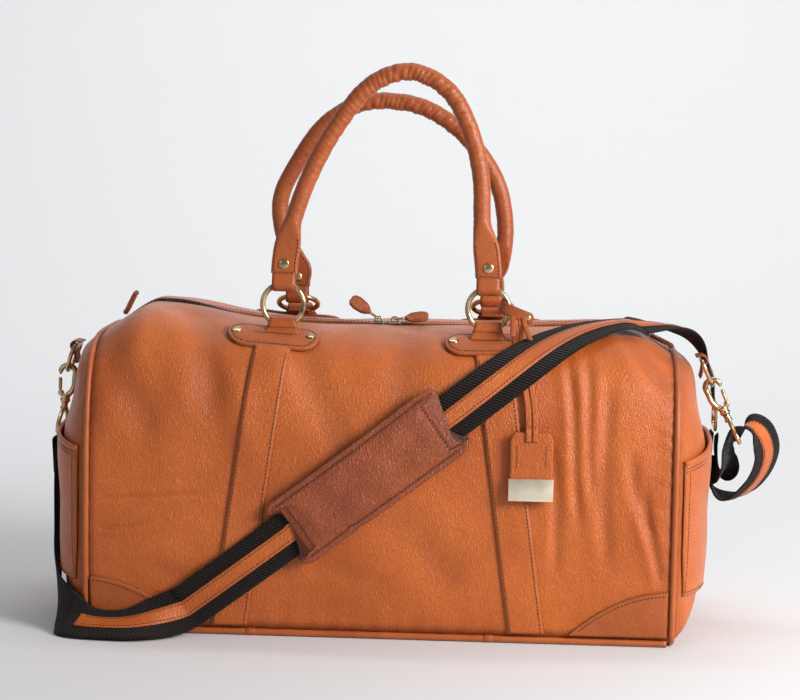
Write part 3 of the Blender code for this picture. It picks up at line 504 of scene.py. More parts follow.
def bump_at(x, centre, width):
    return np.exp(-((x - centre) / width) ** 2)


def smooth(t):
    t = np.clip(t, 0.0, 1.0)
    return t * t * (3.0 - 2.0 * t)


def ridge_height(x):
    x = np.asarray(x, float)
    peaks = 0.017 * bump_at(x, -0.220, 0.085) + 0.004 * bump_at(x, 0.200, 0.070)
    return RIDGE_HEIGHT + peaks - 0.023 * smooth((np.abs(x) - 0.210) / 0.055)


def outline(x, t):
    """(half depth, height, outward direction) on the bag's section, for t from the bottom seam to the zip line."""
    low = 0.28
    z1 = FOOT_HEIGHT + (BELLY_HEIGHT - FOOT_HEIGHT) * t / low
    lean = (BELLY_HEIGHT - z1) / BELLY_HEIGHT
    h1 = HALF_DEPTH - (HALF_DEPTH - FOOT_HALF_DEPTH) * lean ** 2
    slope = 2 * (HALF_DEPTH - FOOT_HALF_DEPTH) * lean / BELLY_HEIGHT
    angle = np.clip((t - low) / (1.0 - low), 0.0, 1.0) * math.pi / 2
    power = 2.0 / SHOULDER_POWER
    tall = ridge_height(x) - BELLY_HEIGHT
    c, s = np.maximum(np.cos(angle), 0.0) ** power, np.maximum(np.sin(angle), 0.0) ** power
    h2, z2 = HALF_DEPTH * c, BELLY_HEIGHT + tall * s
    n2h = c ** (SHOULDER_POWER - 1) / HALF_DEPTH
    n2z = s ** (SHOULDER_POWER - 1) / tall
    lower = t < low
    h, z = np.where(lower, h1, h2), np.where(lower, z1, z2)
    nh, nz = np.where(lower, 1.0, n2h), np.where(lower, -slope, n2z)
    size = np.hypot(nh, nz)
    return h, z, nh / size, nz / size


FINE_T = np.linspace(0, 1, 3001)
_h, _z, _, _ = outline(0.0, FINE_T)
FINE_RUN = np.concatenate([[0], np.cumsum(np.hypot(np.diff(_h), np.diff(_z)))])
GIRTH = FINE_RUN[-1]

# Soft folds of the front and rear: (x, girth) at each end, width and depth, all in metres
FRONT_FOLDS = [
    (-0.172, 0.300, -0.140, 0.190, 0.016, 0.0026), (-0.150, 0.250, -0.105, 0.150, 0.012, -0.0014),
    (-0.070, 0.270, -0.030, 0.140, 0.015, 0.0018), (0.010, 0.290, 0.030, 0.200, 0.018, 0.0014),
    (0.163, 0.235, 0.176, 0.105, 0.0045, 0.0020), (0.178, 0.245, 0.188, 0.120, 0.0050, 0.0018),
    (0.150, 0.170, 0.158, 0.060, 0.0050, 0.0014), (0.196, 0.220, 0.200, 0.070, 0.0065, 0.0018),
    (0.232, 0.130, 0.246, 0.050, 0.0045, 0.0020), (0.218, 0.160, 0.236, 0.090, 0.0055, 0.0015),
    (-0.247, 0.112, -0.160, 0.117, 0.0024, 0.0010), (-0.252, 0.086, -0.205, 0.090, 0.0022, 0.0009),
    (-0.236, 0.250, -0.205, 0.160, 0.014, 0.0018), (-0.200, 0.060, -0.120, 0.020, 0.010, 0.0008),
    (0.010, 0.100, 0.080, 0.050, 0.018, 0.0012), (-0.060, 0.080, 0.010, 0.030, 0.014, 0.0010),
    (0.205, 0.300, 0.245, 0.230, 0.010, 0.0020)]
REAR_FOLDS = [(-x0, a0, -x1, a1, w, d) for x0, a0, x1, a1, w, d in FRONT_FOLDS[::2]]


def fold_relief(x, a, folds):
    """Depth of the creases at (x, a): soft valleys along short lines that fade out at both ends."""
    total = np.zeros(np.broadcast(x, a).shape)
    for x0, a0, x1, a1, width, depth in folds:
        dx, da = x1 - x0, a1 - a0
        length = math.hypot(dx, da)
        along = ((x - x0) * dx + (a - a0) * da) / length ** 2
        bend = 0.35 * width * np.sin(along * 5.0 + 40 * x0)
        across = ((x - x0) * da - (a - a0) * dx) / length + bend
        fade = np.exp(-np.maximum(np.abs(along - 0.5) - 0.35, 0.0) ** 2 / 0.03)
        total -= depth * fade * (np.exp(-(across / width) ** 2) - 0.45 * np.exp(-((across - 1.7 * width) / width) ** 2))
    return total


def ripples(x, a, phase):
    """Slow unevenness of soft leather, from a few crossing waves."""
    waves = ((31, 17, 0.00055), (-23, 41, 0.00045), (52, -37, 0.00030), (71, 66, 0.00018), (-88, 53, 0.00014),
             (124, 20, 0.00010), (9, 96, 0.00020))
    total = 0.0
    for k, (p, q, high) in enumerate(waves):
        bend = 0.8 * np.sin(19 * x + 13 * a + k)
        total = total + high * np.sin(p * x + q * a + phase + 1.7 * k + bend)
    return total


def slackness(x, s, side):
    """How far the leather stands off the plain skin."""
    a = s * GIRTH
    folds = FRONT_FOLDS if side < 0 else REAR_FOLDS
    soft = fold_relief(x, a, folds) + ripples(x, a, 0.0 if side < 0 else 2.0)
    firm = smooth((HALF_LENGTH - np.abs(x)) / 0.018) * smooth(a / 0.014) * smooth((GIRTH - a) / 0.020)
    return soft * firm


def skin(x, s, out, side=FRONT, soft=1.0):
    """Points of the bag's skin at x and share s of the girth, moved outwards by out."""
    x, s = np.broadcast_arrays(np.asarray(x, float), np.asarray(s, float))
    t = np.interp(np.clip(s, 0, 1) * GIRTH, FINE_RUN, FINE_T)
    h, z, nh, nz = outline(x, t)
    away = out + soft * slackness(x, s, side)
    return np.stack([x, side * (h + nh * away), z + nz * away], -1)


def edge_marks(distance, width):
    """Darkening near an edge or seam."""
    return np.exp(-(np.maximum(distance, 0.0) / width) ** 2)


# Builders that work on any surface

def surface_normals(points, flip=False):
    """Normals of an array of points [row][column]."""
    rows = np.gradient(points, axis=0)
    columns = np.gradient(points, axis=1)
    normal = unit(np.cross(columns, rows))
    return -normal if flip else normal


def band(name, middle, thick, flip=False, edge=0.0012, uv_width=None, dome=None):
    """A closed leather or webbing piece round a middle surface, with edges that round off over edge metres."""
    normal = surface_normals(middle, flip)
    rows, columns = middle.shape[:2]
    down = np.concatenate([np.zeros((1, columns)), np.cumsum(np.linalg.norm(np.diff(middle, axis=0), axis=2), 0)])
    over = np.concatenate([np.zeros((rows, 1)), np.cumsum(np.linalg.norm(np.diff(middle, axis=1), axis=2), 1)], 1)
    gap = np.minimum(np.minimum(over, over[:, -1:] - over), np.minimum(down, down[-1:] - down))
    round_off = np.sqrt(np.clip(1.0 - (1.0 - np.clip(gap / edge, 0, 1)) ** 2, 0.0, 1.0))
    half = thick / 2 * (0.10 + 0.90 * round_off)
    top = middle + normal * (half + (0.0 if dome is None else dome))[..., None]
    low = middle - normal * half[..., None]
    points = np.concatenate([top, low[:, ::-1]], 1)
    uv = None
    if uv_width is not None:
        across = np.broadcast_to(np.linspace(0, uv_width, columns), (rows, columns))
        along = np.broadcast_to(down.mean(1)[:, None], (rows, columns))
        one = np.stack([across, along], -1)
        uv = np.concatenate([one, one[:, ::-1]], 1)
    marks = 0.75 * edge_marks(gap, 0.9 * edge)
    piece = grid_object(name, points, flip=flip, wrap_v=True, caps=True, uv=uv,
                        marks=np.concatenate([marks, marks[:, ::-1]], 1))
    return piece


STITCH_RINGS = [(-1.0, 0.15), (-0.75, 0.72), (-0.3, 1.0), (0.3, 1.0), (0.75, 0.72), (1.0, 0.15)]


def stitches(name, paths, body=ROOT, look=None, pitch=0.0034, length=0.0027, radius=0.00042):
    """Rows of sewn thread along paths of (points, normals)."""
    turns = np.linspace(0, 2 * math.pi, 6, endpoint=False)
    shape = np.array([[(t, w * math.cos(a), w * math.sin(a)) for a in turns] for t, w in STITCH_RINGS])
    count = len(STITCH_RINGS) * 6
    quads = []
    for i in range(len(STITCH_RINGS) - 1):
        for j in range(6):
            quads.append((i * 6 + j, i * 6 + (j + 1) % 6, (i + 1) * 6 + (j + 1) % 6, (i + 1) * 6 + j))
    quads = np.array(quads)
    all_points, all_faces, made = [], [], 0
    for points, normals in paths:
        points, normals = np.asarray(points, float), np.asarray(normals, float)
        run = np.concatenate([[0], np.cumsum(np.linalg.norm(np.diff(points, axis=0), axis=1))])
        spots = np.arange(pitch / 2, run[-1] - pitch / 3, pitch)
        for s in spots:
            at = np.array([np.interp(s, run, points[:, k]) for k in range(3)])
            before = np.array([np.interp(s - 0.0008, run, points[:, k]) for k in range(3)])
            after = np.array([np.interp(s + 0.0008, run, points[:, k]) for k in range(3)])
            up = unit([np.interp(s, run, normals[:, k]) for k in range(3)])
            ahead = unit(after - before)
            side = unit(np.cross(up, ahead))
            lean = unit(ahead + 0.06 * side * math.sin(7.0 * made))
            local = shape * np.array([length / 2, radius, radius * 0.8])
            world = at + local[..., :1] * lean + local[..., 1:2] * side + local[..., 2:] * up + up * radius * 0.25
            all_points.append(world.reshape(-1, 3))
            all_faces.append(quads + made * count)
            made += 1
    mesh = bpy.data.meshes.new(name)
    mesh.from_pydata(np.concatenate(all_points).tolist(), [], np.concatenate(all_faces).tolist())
    mesh.shade_smooth()
    return dress(link(bpy.data.objects.new(name, mesh)), look or THREAD, body)


def skin_path(x, s, out, side, soft=1.0):
    """(points, normals) of a line on the skin through the given x and s."""
    x, s = np.broadcast_arrays(np.asarray(x, float), np.asarray(s, float))
    here = skin(x, s, out, side, soft)
    return here, unit(skin(x, s, out + 0.001, side, soft) - here)


def rivet(name, place, direction, radius=0.0045, tall=0.0011, body=ROOT):
    """A domed brass rivet."""
    profile = [(radius * 0.98, -0.0004), (radius, 0.0002)]
    profile += [(radius * math.cos(a), 0.0002 + tall * math.sin(a)) for a in np.linspace(0.15, 1.45, 8)]
    return dress(turned(name, profile, place, direction), BRASS, body)


SIDES = (("front", FRONT), ("rear", REAR))
HANDS = (("left", -1), ("right", 1))


# The soft body

def long_panel(name, node, side):
    reach = HALF_LENGTH - SEAM_GAP + 0.0014
    xs = np.linspace(-reach, reach, 250)
    ss = np.linspace(0.0, 0.974, 170)
    x, s = np.meshgrid(xs, ss)
    a = s * GIRTH
    seam = np.minimum(reach - np.abs(x), np.minimum(a, 0.974 * GIRTH - a + 0.004))
    pucker = 0.00045 * np.sin(2 * math.pi * (a if True else x) / 0.017 + 3 * np.sin(30 * a)) * np.exp(
        -(reach - np.abs(x)) / 0.010)
    foot_pucker = 0.0004 * np.sin(2 * math.pi * x / 0.021 + 2 * np.sin(25 * x)) * np.exp(-a / 0.012)
    sink = -0.0016 * np.exp(-(seam / 0.0035) ** 2)
    points = skin(x, s, sink + pucker + foot_pucker, side)
    hem = points[0] * np.array([1, 0, 0]) + np.array([0, side * (FOOT_HALF_DEPTH - 0.0022), 0.0040])
    points[0] = hem
    folds = fold_relief(x, a, FRONT_FOLDS if side < 0 else REAR_FOLDS)
    # Darker towards the seams, with painted shade in the folds.
    marks = 0.8 * edge_marks(seam, 0.0042) + np.clip(-folds / 0.0045, 0, 0.30)
    piece = grid_object(name, points, flip=side > 0, marks=marks)
    thicken(piece, 0.0022)
    dress(piece, TAN, stands_for=(node,))


def end_outline(side, count=260):
    """The closed outline (y, z) of an end, evenly stepped."""
    t = np.interp(np.linspace(0, GIRTH, 400), FINE_RUN, FINE_T)
    h, z, _, _ = outline(side * HALF_LENGTH, t)
    below = np.linspace(h[0], -h[0], 80)[1:-1]
    y = np.concatenate([-h, h[::-1][1:], below])
    z = np.concatenate([z, z[::-1][1:], np.full(78, z[0])])
    loop = np.stack([np.append(y, y[0]), np.append(z, z[0])], 1)
    run = np.concatenate([[0], np.cumsum(np.linalg.norm(np.diff(loop, axis=0), axis=1))])
    even = np.linspace(0, run[-1], count, endpoint=False)
    return np.stack([np.interp(even, run, loop[:, 0]), np.interp(even, run, loop[:, 1])], 1)


def end_depth(share, z, side):
    bulge = LEFT_BULGE if side < 0 else RIGHT_BULGE
    return SEAM_GAP + bulge * (1 - UPPER_SLACK * smooth((z - 0.165) / 0.055)) * (1 - share ** 4)


def end_reach(y, z, side):
    """The share of the way from the end's middle to its seam."""
    loop = end_outline(side)
    angle = np.arctan2(loop[:, 1] - END_MIDDLE[1], loop[:, 0])
    far = np.hypot(loop[:, 0], loop[:, 1] - END_MIDDLE[1])
    order = np.argsort(angle)
    here = np.arctan2(z - END_MIDDLE[1], y)
    return np.hypot(y, z - END_MIDDLE[1]) / np.interp(here, angle[order], far[order], period=2 * math.pi)


def end_relief(y, z):
    """Soft dents and short creases of an end."""
    wave = 0.0007 * np.sin(38 * y + 21 * z) + 0.0005 * np.sin(-25 * y + 64 * z + 1.0) + 0.0003 * np.sin(90 * y - 40 * z)
    crease = -0.0014 * np.exp(-((z - 0.205 - 0.25 * y) / 0.006) ** 2) * np.exp(-((y - 0.02) / 0.05) ** 2)
    full = 0.0078 * np.exp(-((z - 0.234) / 0.030) ** 2) * np.exp(-((y + 0.012) / 0.075) ** 2)
    return wave + crease + full


def end_panel(name, node, side):
    loop = end_outline(side)
    shares = np.concatenate([np.linspace(0.992, 0.90, 16), np.linspace(0.885, 0.02, 40)])
    share = shares[:, None]
    y, z = loop[None, :, 0] * share, END_MIDDLE[1] + (loop[None, :, 1] - END_MIDDLE[1]) * share
    inward = smooth((1 - share) / 0.08)
    turns = np.arange(len(loop)) / len(loop) * 2 * math.pi
    pucker = 0.0006 * np.sin(34 * turns + 3 * np.sin(5 * turns))[None, :] * np.exp(-(1 - share) / 0.07) * inward
    x = HALF_LENGTH + end_depth(share, z, side) + inward * end_relief(y, z) + pucker - 0.0012 * (1 - inward)
    points = np.stack([side * x, y, z], -1)
    marks = 0.55 * edge_marks((1 - share) * 0.12 + 0 * y, 0.005)
    piece = grid_object(name, points, flip=side > 0, wrap_v=True, marks=marks)
    thicken(piece, 0.0022)
    dress(piece, TAN, stands_for=(node,))


def pocket_edge(height):
    """Half width of the pocket, which is sewn into the end seam."""
    return 0.1195 + 0.0050 * smooth((height - 0.03) / 0.06)


def pocket_spot(y, height, side, extra=0.0):
    middle = np.clip(1 - (y / 0.125) ** 2, 0, 1)
    share = end_reach(y, height, side)
    out = 0.0018 + (0.0022 + 0.0025 * smooth((height - 0.11) / 0.06)) * middle ** 0.5
    x = HALF_LENGTH + end_depth(share, height, side) + out + extra
    return np.stack([side * x, y, height], -1)


def end_pocket(name, node, side):
    w, k = np.meshgrid(np.linspace(-1, 1, 110), np.linspace(0, 1, 64))
    height = 0.046 + 0.128 * k - 0.010 * w ** 2 * k
    y = w * pocket_edge(height)
    relief = 0.0005 * np.sin(45 * y + 30 * height) + 0.0004 * np.sin(80 * height - 30 * y)
    sag = -0.0018 * np.exp(-((y + 0.045 - 0.5 * (height - 0.10)) / 0.008) ** 2) * smooth((height - 0.09) / 0.05)
    points = pocket_spot(y, height, side, (relief + 0.6 * sag) * smooth((1 - np.abs(w)) / 0.15) * smooth(k / 0.15))
    middle = points.copy()
    middle[..., 0] -= side * 0.0009
    dress(band(name, middle, 0.0018, flip=side < 0), TAN, stands_for=(node,))
    w = np.linspace(-1, 1, 90)
    rim = 0.174 - 0.010 * w ** 2
    ys = w * pocket_edge(rim)
    mouth = pocket_spot(ys, rim - 0.0005, side, -0.0003)
    roll = tube(name + "_mouth", mouth, 0.0021, 12)
    dress(roll, TAN)
    out = np.array([side, 0.0, 0.0])
    rows = []
    for drop in (0.0055, 0.0085):
        line = pocket_spot(ys, rim - drop, side, 0.0002)
        rows.append((line, np.broadcast_to(out, line.shape)))
    foot = pocket_spot(ys * 0.97, np.full(90, 0.0495), side, 0.0002)
    rows.append((foot, np.broadcast_to(out, foot.shape)))
    for edge in (-0.1195, 0.1195):
        up = pocket_spot(np.full(60, edge), np.linspace(0.050, 0.158, 60), side, 0.0002)
        rows.append((up, np.broadcast_to(out, up.shape)))
    stitches(name + "_thread", rows)


def piping():
    for label, side in HANDS:
        t = np.interp(np.linspace(0, GIRTH, 120), FINE_RUN, FINE_T)
        h, z, nh, nz = outline(side * HALF_LENGTH, t)
        h, z = h - 0.0012 * nh, z - 0.0012 * nz
        low = FOOT_HALF_DEPTH - 0.009
        below = np.linspace(low, -low, 40)
        y = np.concatenate([-h, h[::-1][1:], below])
        zz = np.concatenate([z, z[::-1][1:], np.full(40, 0.0034)])
        loop = np.stack([np.full(len(y), side * HALF_LENGTH), y, zz], 1)
        wobble = PIPING * (1 + 0.035 * np.sin(np.arange(len(y)) * 0.9))
        cord = tube("piping_cord_" + label, loop, wobble, 16, closed=True)
        dress(cord, PIPED, stands_for=("piping_" + label,))
    for label, side in SIDES:
        xs = np.linspace(-HALF_LENGTH + 0.0042, HALF_LENGTH - 0.0042, 160)
        line = np.stack([xs, np.full(160, side * (FOOT_HALF_DEPTH - 0.0005)), np.full(160, 0.0032)], 1)
        cord = tube("piping_cord_" + label, line, PIPING * (1 + 0.03 * np.sin(xs * 300)), 16)
        dress(cord, PIPED, stands_for=("piping_" + label,))
        wraps = []
        for x in (-0.112, 0.098):
            xs = np.linspace(x - 0.004, x + 0.004, 8)
            line = np.stack([xs, np.full(8, side * (FOOT_HALF_DEPTH - 0.0005)), np.full(8, 0.0032)], 1)
            wraps.append(tube("wrap", line, PIPING + 0.0006 * np.sin(np.linspace(0.2, 2.94, 8)), 16))
        dress(joined("piping_joins_" + label, wraps), TRIM)


def strips():
    for label, side in SIDES:
        rows = []
        for hand_label, hand in HANDS:
            k, s = np.meshgrid(np.linspace(-1, 1, 17), np.linspace(0.004, 0.712, 120))
            x = hand * (0.131 - 0.035 * s / 0.72) + k * 0.016
            middle = skin(x, s, 0.0013, side)
            piece = band(f"strip_leather_{label}_{hand_label}", middle, 0.0018, flip=side > 0)
            dress(piece, TAN, stands_for=(f"strip_{label}_{hand_label}",))
            line = np.linspace(0.006, 0.690, 150)
            for edge in (-0.0134, 0.0134):
                rows.append(skin_path(hand * (0.131 - 0.035 * line / 0.72) + edge, line, 0.0023, side))
        stitches("strip_thread_" + label, rows)


def corner_patches():
    far, reach, tall = HALF_LENGTH - SEAM_GAP - 0.0005, 0.088, 0.043
    for label, side in SIDES:
        rows = []
        for hand_label, hand in HANDS:
            d, k = np.meshgrid(np.linspace(0, 0.0865, 60), np.linspace(0, 1, 30))
            top = tall * (1 - (d / reach) ** 2) / GIRTH
            x, s = hand * (far - d), 0.003 + (top - 0.003) * k
            middle = skin(x, s, 0.0013, side)
            piece = band(f"corner_guard_{label}_{hand_label}", middle, 0.0018, flip=side * hand < 0)
            dress(piece, TRIM, stands_for=(f"corner_patch_{label}_{hand_label}",))
            d = np.linspace(0.002, 0.080, 80)
            for inset in (0.0034,):
                s = (tall * (1 - (d / reach) ** 2) - inset * (1 + 0.4 * d / reach)) / GIRTH
                keep = s > 0.012
                rows.append(skin_path(hand * (far - d[keep]), s[keep], 0.0023, side))
        stitches("corner_thread_" + label, rows)


# Zip

def zip_lift(x):
    """How far the zip stands proud where it sags open to the left."""
    return 0.0042 * bump_at(x, -0.188, 0.040)


def ridge_sweep(name, profile, xs, flip=False):
    z = ridge_height(xs) + zip_lift(xs)
    points = np.array([[(x, y, h + up) for y, up in profile] for x, h in zip(xs, z)])
    return grid_object(name, points, flip=flip, wrap_v=True, caps=True)


def zip_tapes():
    for label, side in SIDES:
        xs = np.linspace(-0.240, 0.240, 130)
        profile = [(side * 0.0008, -0.0056), (side * 0.0155, -0.0056), (side * 0.0160, -0.0052),
                   (side * 0.0155, -0.0046), (side * 0.0008, -0.0046)]
        tape = ridge_sweep("zip_tape_" + label, profile, xs, flip=side > 0)
        dress(tape, ZIP_CLOTH, stands_for=("zip_half_" + label,))
        pitch = 0.0026
        teeth = []
        spots = np.arange(-0.238, 0.238, pitch) + (0 if side < 0 else pitch / 2)
        block = np.array([[-1, -1, -1], [1, -1, -1], [1, 1, -1], [-1, 1, -1],
                          [-0.6, -0.7, 1], [0.6, -0.7, 1], [0.6, 0.7, 1], [-0.6, 0.7, 1]], float)
        faces = np.array([[3, 2, 1, 0], [4, 5, 6, 7], [0, 1, 5, 4], [1, 2, 6, 5], [2, 3, 7, 6], [3, 0, 4, 7]])
        for x in spots:
            size = np.array([0.00078, 0.0022, 0.0016])
            teeth.append(block * size + [x, side * 0.0013, float(ridge_height(x) + zip_lift(x)) - 0.0030])
        mesh = bpy.data.meshes.new("zip_teeth_" + label)
        index = np.concatenate([faces + 8 * i for i in range(len(teeth))])
        mesh.from_pydata(np.concatenate(teeth).tolist(), [], index.tolist())
        row = link(bpy.data.objects.new("zip_teeth_" + label, mesh))
        soften(row, 0.00025, 2, 30)
        dress(row, DARK_METAL)
        lines = []
        path_x = np.linspace(-0.236, 0.236, 200)
        for s in (0.9615,):
            lines.append(skin_path(path_x, np.full(200, s), 0.0004, side))
        stitches("zip_thread_" + label, lines)


def zip_parts():
    for label, x, angle in (("left", -0.0115, math.radians(145)), ("right", 0.0035, math.radians(6))):
        z = float(ridge_height(x))
        body = [slab("base", (0.0105, 0.0086, 0.0012), (x, 0, z + 0.0001), bevel=0.0005),
                slab("cap", (0.0096, 0.0080, 0.0013), (x, 0, z + 0.0019), bevel=0.0006)]
        arch = [(x - 0.0030, 0, z + 0.0024), (x - 0.0026, 0, z + 0.0046), (x - 0.0010, 0, z + 0.0058),
                (x + 0.0010, 0, z + 0.0058), (x + 0.0026, 0, z + 0.0046), (x + 0.0030, 0, z + 0.0024)]
        body.append(tube("lug", catmull(arch, 24)[0], 0.00085, 10))
        dress(joined("slider_" + label, body), BRASS, "slider_" + label, (f"zip_slider_{label}",))
        pin = np.array([x, 0, z + 0.0041])
        along = np.array([math.cos(angle), 0, math.sin(angle)])
        up = np.array([-math.sin(angle), 0, math.cos(angle)])
        up = up if up[2] > 0 else -up
        loop = []
        for a in np.linspace(0, 2 * math.pi, 40, endpoint=False):
            c, s = math.cos(a), math.sin(a)
            across = 0.0032 * np.sign(s) * abs(s) ** 0.5
            run = 0.00475 + 0.00475 * np.sign(c) * abs(c) ** 0.5
            loop.append(pin + along * run + np.array([0, across, 0]))
        link_piece = tube("pull_link_" + label, loop, 0.0008, 10, closed=True)
        dress(link_piece, BRASS, "pull_" + label)
        run = np.linspace(0.0085, 0.0310, 40)
        half = np.interp(run, [0.0085, 0.0120, 0.0240, 0.0290, 0.0310], [0.0030, 0.0056, 0.0069, 0.0056, 0.0030])
        k = np.linspace(-1, 1, 13)
        twist = np.radians(62 if label == "left" else 38) * smooth((run - 0.009) / 0.008)
        way = np.cos(twist)[:, None] * np.array([0, 1.0, 0]) + np.sin(twist)[:, None] * up
        facing = np.cos(twist)[:, None] * up - np.sin(twist)[:, None] * np.array([0, 1.0, 0])
        middle = pin + run[:, None, None] * along + (half[:, None] * k)[..., None] * way[:, None]
        tab = band("pull_tab_" + label, middle, 0.0029, edge=0.0009)
        dress(tab, TRIM, "pull_" + label, (f"zip_pull_{label}",))
        rows = []
        for face in (1, -1):
            for hand in (-1, 1):
                line = pin + run[3:-3, None] * along + (hand * (half[3:-3] - 0.0016))[:, None] * way[3:-3]
                rows.append((line + face * facing[3:-3] * 0.0015, face * facing[3:-3]))
        stitches("pull_thread_" + label, rows, "pull_" + label, pitch=0.0026, length=0.0019, radius=0.0003)
    for label, x, tilt, high in (("left", -0.2395, -62, 0.0105), ("right", 0.2470, 27, 0.0046)):
        turn = Matrix.Translation((x, 0, float(ridge_height(x)) + high)) @ Matrix.Rotation(math.radians(tilt), 4, "Y")
        run, k = np.linspace(-0.012, 0.012, 40), np.linspace(-1, 1, 17)
        half = 0.0070 - 0.0025 * smooth((np.abs(run) - 0.009) / 0.003) ** 2
        middle = np.stack(np.broadcast_arrays(run[:, None], half[:, None] * k, 0.0004 * np.sin(run * 260)[:, None]), -1)
        piece = band("zip_end_leather_" + label, middle, 0.0034, edge=0.0014)
        piece.data.transform(turn)
        dress(piece, TRIM, stands_for=(f"zip_end_tab_{label}",))
        rows = []
        for face in (-1, 1):
            for hand in (-1, 1):
                line = np.stack([run, hand * (half - 0.0022), np.full(40, face * 0.0017)], 1)
                there = np.array([turn @ Vector(p) for p in line])
                rows.append((there, np.broadcast_to(np.array(turn.to_3x3() @ Vector((0, 0, face))), there.shape)))
        stitches("zip_end_thread_" + label, rows, pitch=0.0030, length=0.0022, radius=0.00035)


# Handles

def stadium(u):
    """A stadium outline (across, along) for u from 0 to 1, as wide as the anchor."""
    radius, straight = 0.018, 0.0415 - 0.018
    total = 4 * straight + 2 * math.pi * radius
    run = (u % 1.0) * total
    if run < 2 * straight:
        return -straight + run, -radius
    run -= 2 * straight
    if run < math.pi * radius:
        a = -math.pi / 2 + run / radius
        return straight + radius * math.cos(a), radius * math.sin(a)
    run -= math.pi * radius
    if run < 2 * straight:
        return straight - run, radius
    a = math.pi / 2 + (run - 2 * straight) / radius
    return -straight + radius * math.cos(a), radius * math.sin(a)


def stadium_line(inset, count=140):
    """The stadium, drawn in by inset."""
    loop = np.array([stadium(k / count) for k in range(count + 1)])
    straight = 0.0415 - 0.018
    core = np.stack([np.clip(loop[:, 0], -straight, straight), np.zeros(len(loop))], 1)
    away = loop - core
    return core + away * (1 - inset / 0.018)


def anchors():
    for label, side in SIDES:
        rows = []
        for hand_label, hand in HANDS:
            x0 = hand * RING_X + (-0.007 if hand * side > 0 else 0.003) * side * -1
            levels = [0.0, 0.0003, 0.0008, 0.0016, 0.0030, 0.0042, 0.0054, 0.008, 0.011, 0.014, 0.0178]
            rise = [0.0008, 0.0018, 0.0025, 0.0030, 0.0032, 0.0029, 0.0033, 0.0036, 0.0037, 0.0037, 0.0037]
            # Darker at the rim, and painted shade in the groove by the stitch line.
            dark_rim_and_painted_groove_shade = [0.8, 0.7, 0.45, 0.1, 0.05, 0.35, 0.05, 0.0, 0.0, 0.0, 0.0]
            lines = [stadium_line(i)[:-1] for i in levels]
            points = np.array([skin(x0 + l[:, 0], ANCHOR_S + l[:, 1] / GIRTH, r, side, 0.3) for l, r in zip(lines, rise)])
            marks = np.repeat(np.array(dark_rim_and_painted_groove_shade)[:, None], points.shape[1], 1)
            dome = grid_object(f"anchor_leather_{label}_{hand_label}", points, flip=side < 0, wrap_v=True,
                               caps=True, marks=marks)
            dress(dome, TRIM, stands_for=(f"handle_anchor_{label}_{hand_label}",))
            line = stadium_line(0.0044)
            rows.append(skin_path(x0 + line[:, 0], ANCHOR_S + line[:, 1] / GIRTH, 0.0031, side, 0.3))
            for spot in (-0.0325, 0.0325):
                place, up = skin_path([x0 + spot], [ANCHOR_S], 0.0036, side, 0.3)
                rivet(f"anchor_rivet_{label}_{hand_label}_{'a' if spot < 0 else 'b'}", place[0], up[0])
            line = np.linspace(-0.017, 0.017, 30)
            rows.append(skin_path(x0 + line, np.full(30, ANCHOR_S), 0.0039, side, 0.3))
            chape(f"chape_{label}_{hand_label}", side, hand * RING_X)
        stitches("anchor_thread_" + label, rows)


def shoulder_share(half_depth, x):
    """The share of the girth at which the shoulder has that half depth."""
    h, _, _, _ = outline(x, FINE_T)
    t = np.interp(half_depth, h[::-1], FINE_T[::-1])
    return np.interp(t, FINE_T, FINE_RUN) / GIRTH


def chape(name, side, x0):
    """The leather that holds a ring's foot: it comes up from the anchor, over the wire and down again."""
    arc = np.radians(np.linspace(-20, 200, 24))
    over = np.stack([RING_Y + 0.0064 * np.cos(arc), RING_FOOT_Z + 0.0064 * np.sin(arc)], 1)
    low = ANCHOR_S + 0.030
    front = [skin(x0, s, out, FRONT, 0.0) for s, out in zip(np.linspace(low, shoulder_share(0.0850, x0), 6),
                                                            np.linspace(0.0014, 0.0036, 6))]
    back = [skin(x0, s, 0.0046, FRONT, 0.0) for s in np.linspace(shoulder_share(0.0660, x0), shoulder_share(0.0585, x0), 5)]
    keys = [(-p[1], p[2]) for p in front] + list(over) + [(-p[1], p[2]) for p in back]
    path, length = catmull(np.array([(x0, h, z) for h, z in keys]), 90)
    run = np.linspace(0, 1, 90)
    half = np.interp(run, [0, 0.12, 0.45, 1.0], [0.0182, 0.0172, 0.0114, 0.0106])
    k = np.linspace(-1, 1, 15)
    middle = np.stack(np.broadcast_arrays(x0 + half[:, None] * k, side * path[:, 1:2], path[:, 2:3]), -1)
    dress(band(name, middle, 0.0021, flip=side > 0), TRIM)


def rings():
    for label, side in SIDES:
        tilt = 0.0 if side < 0 else REAR_TILT
        lift = np.array([0, -side * math.sin(tilt), math.cos(tilt)])
        for hand_label, hand in HANDS:
            foot = np.array([hand * RING_X, side * RING_Y, RING_FOOT_Z])
            turns = np.linspace(0, 2 * math.pi, 96, endpoint=False)
            loop = foot + RING_RADIUS * (lift + np.cos(turns)[:, None] * np.array([1, 0, 0])
                                         + np.sin(turns)[:, None] * lift)
            ring = tube(f"ring_wire_{label}_{hand_label}", loop, RING_WIRE, 20, closed=True)
            dress(ring, BRASS, label + "_rings", (f"ring_{label}_{hand_label}",))


FRONT_ARCH = [(-0.083, 0.365), (-0.069, 0.404), (-0.047, 0.446), (-0.017, 0.484), (0.018, 0.497),
              (0.051, 0.482), (0.071, 0.449), (0.082, 0.407), (0.084, 0.366)]
REAR_ARCH = [(-0.105, 0.348), (-0.107, 0.378), (-0.094, 0.408), (-0.068, 0.446), (-0.034, 0.467),
             (0.004, 0.469), (0.036, 0.459), (0.068, 0.434), (0.094, 0.395), (0.102, 0.350)]


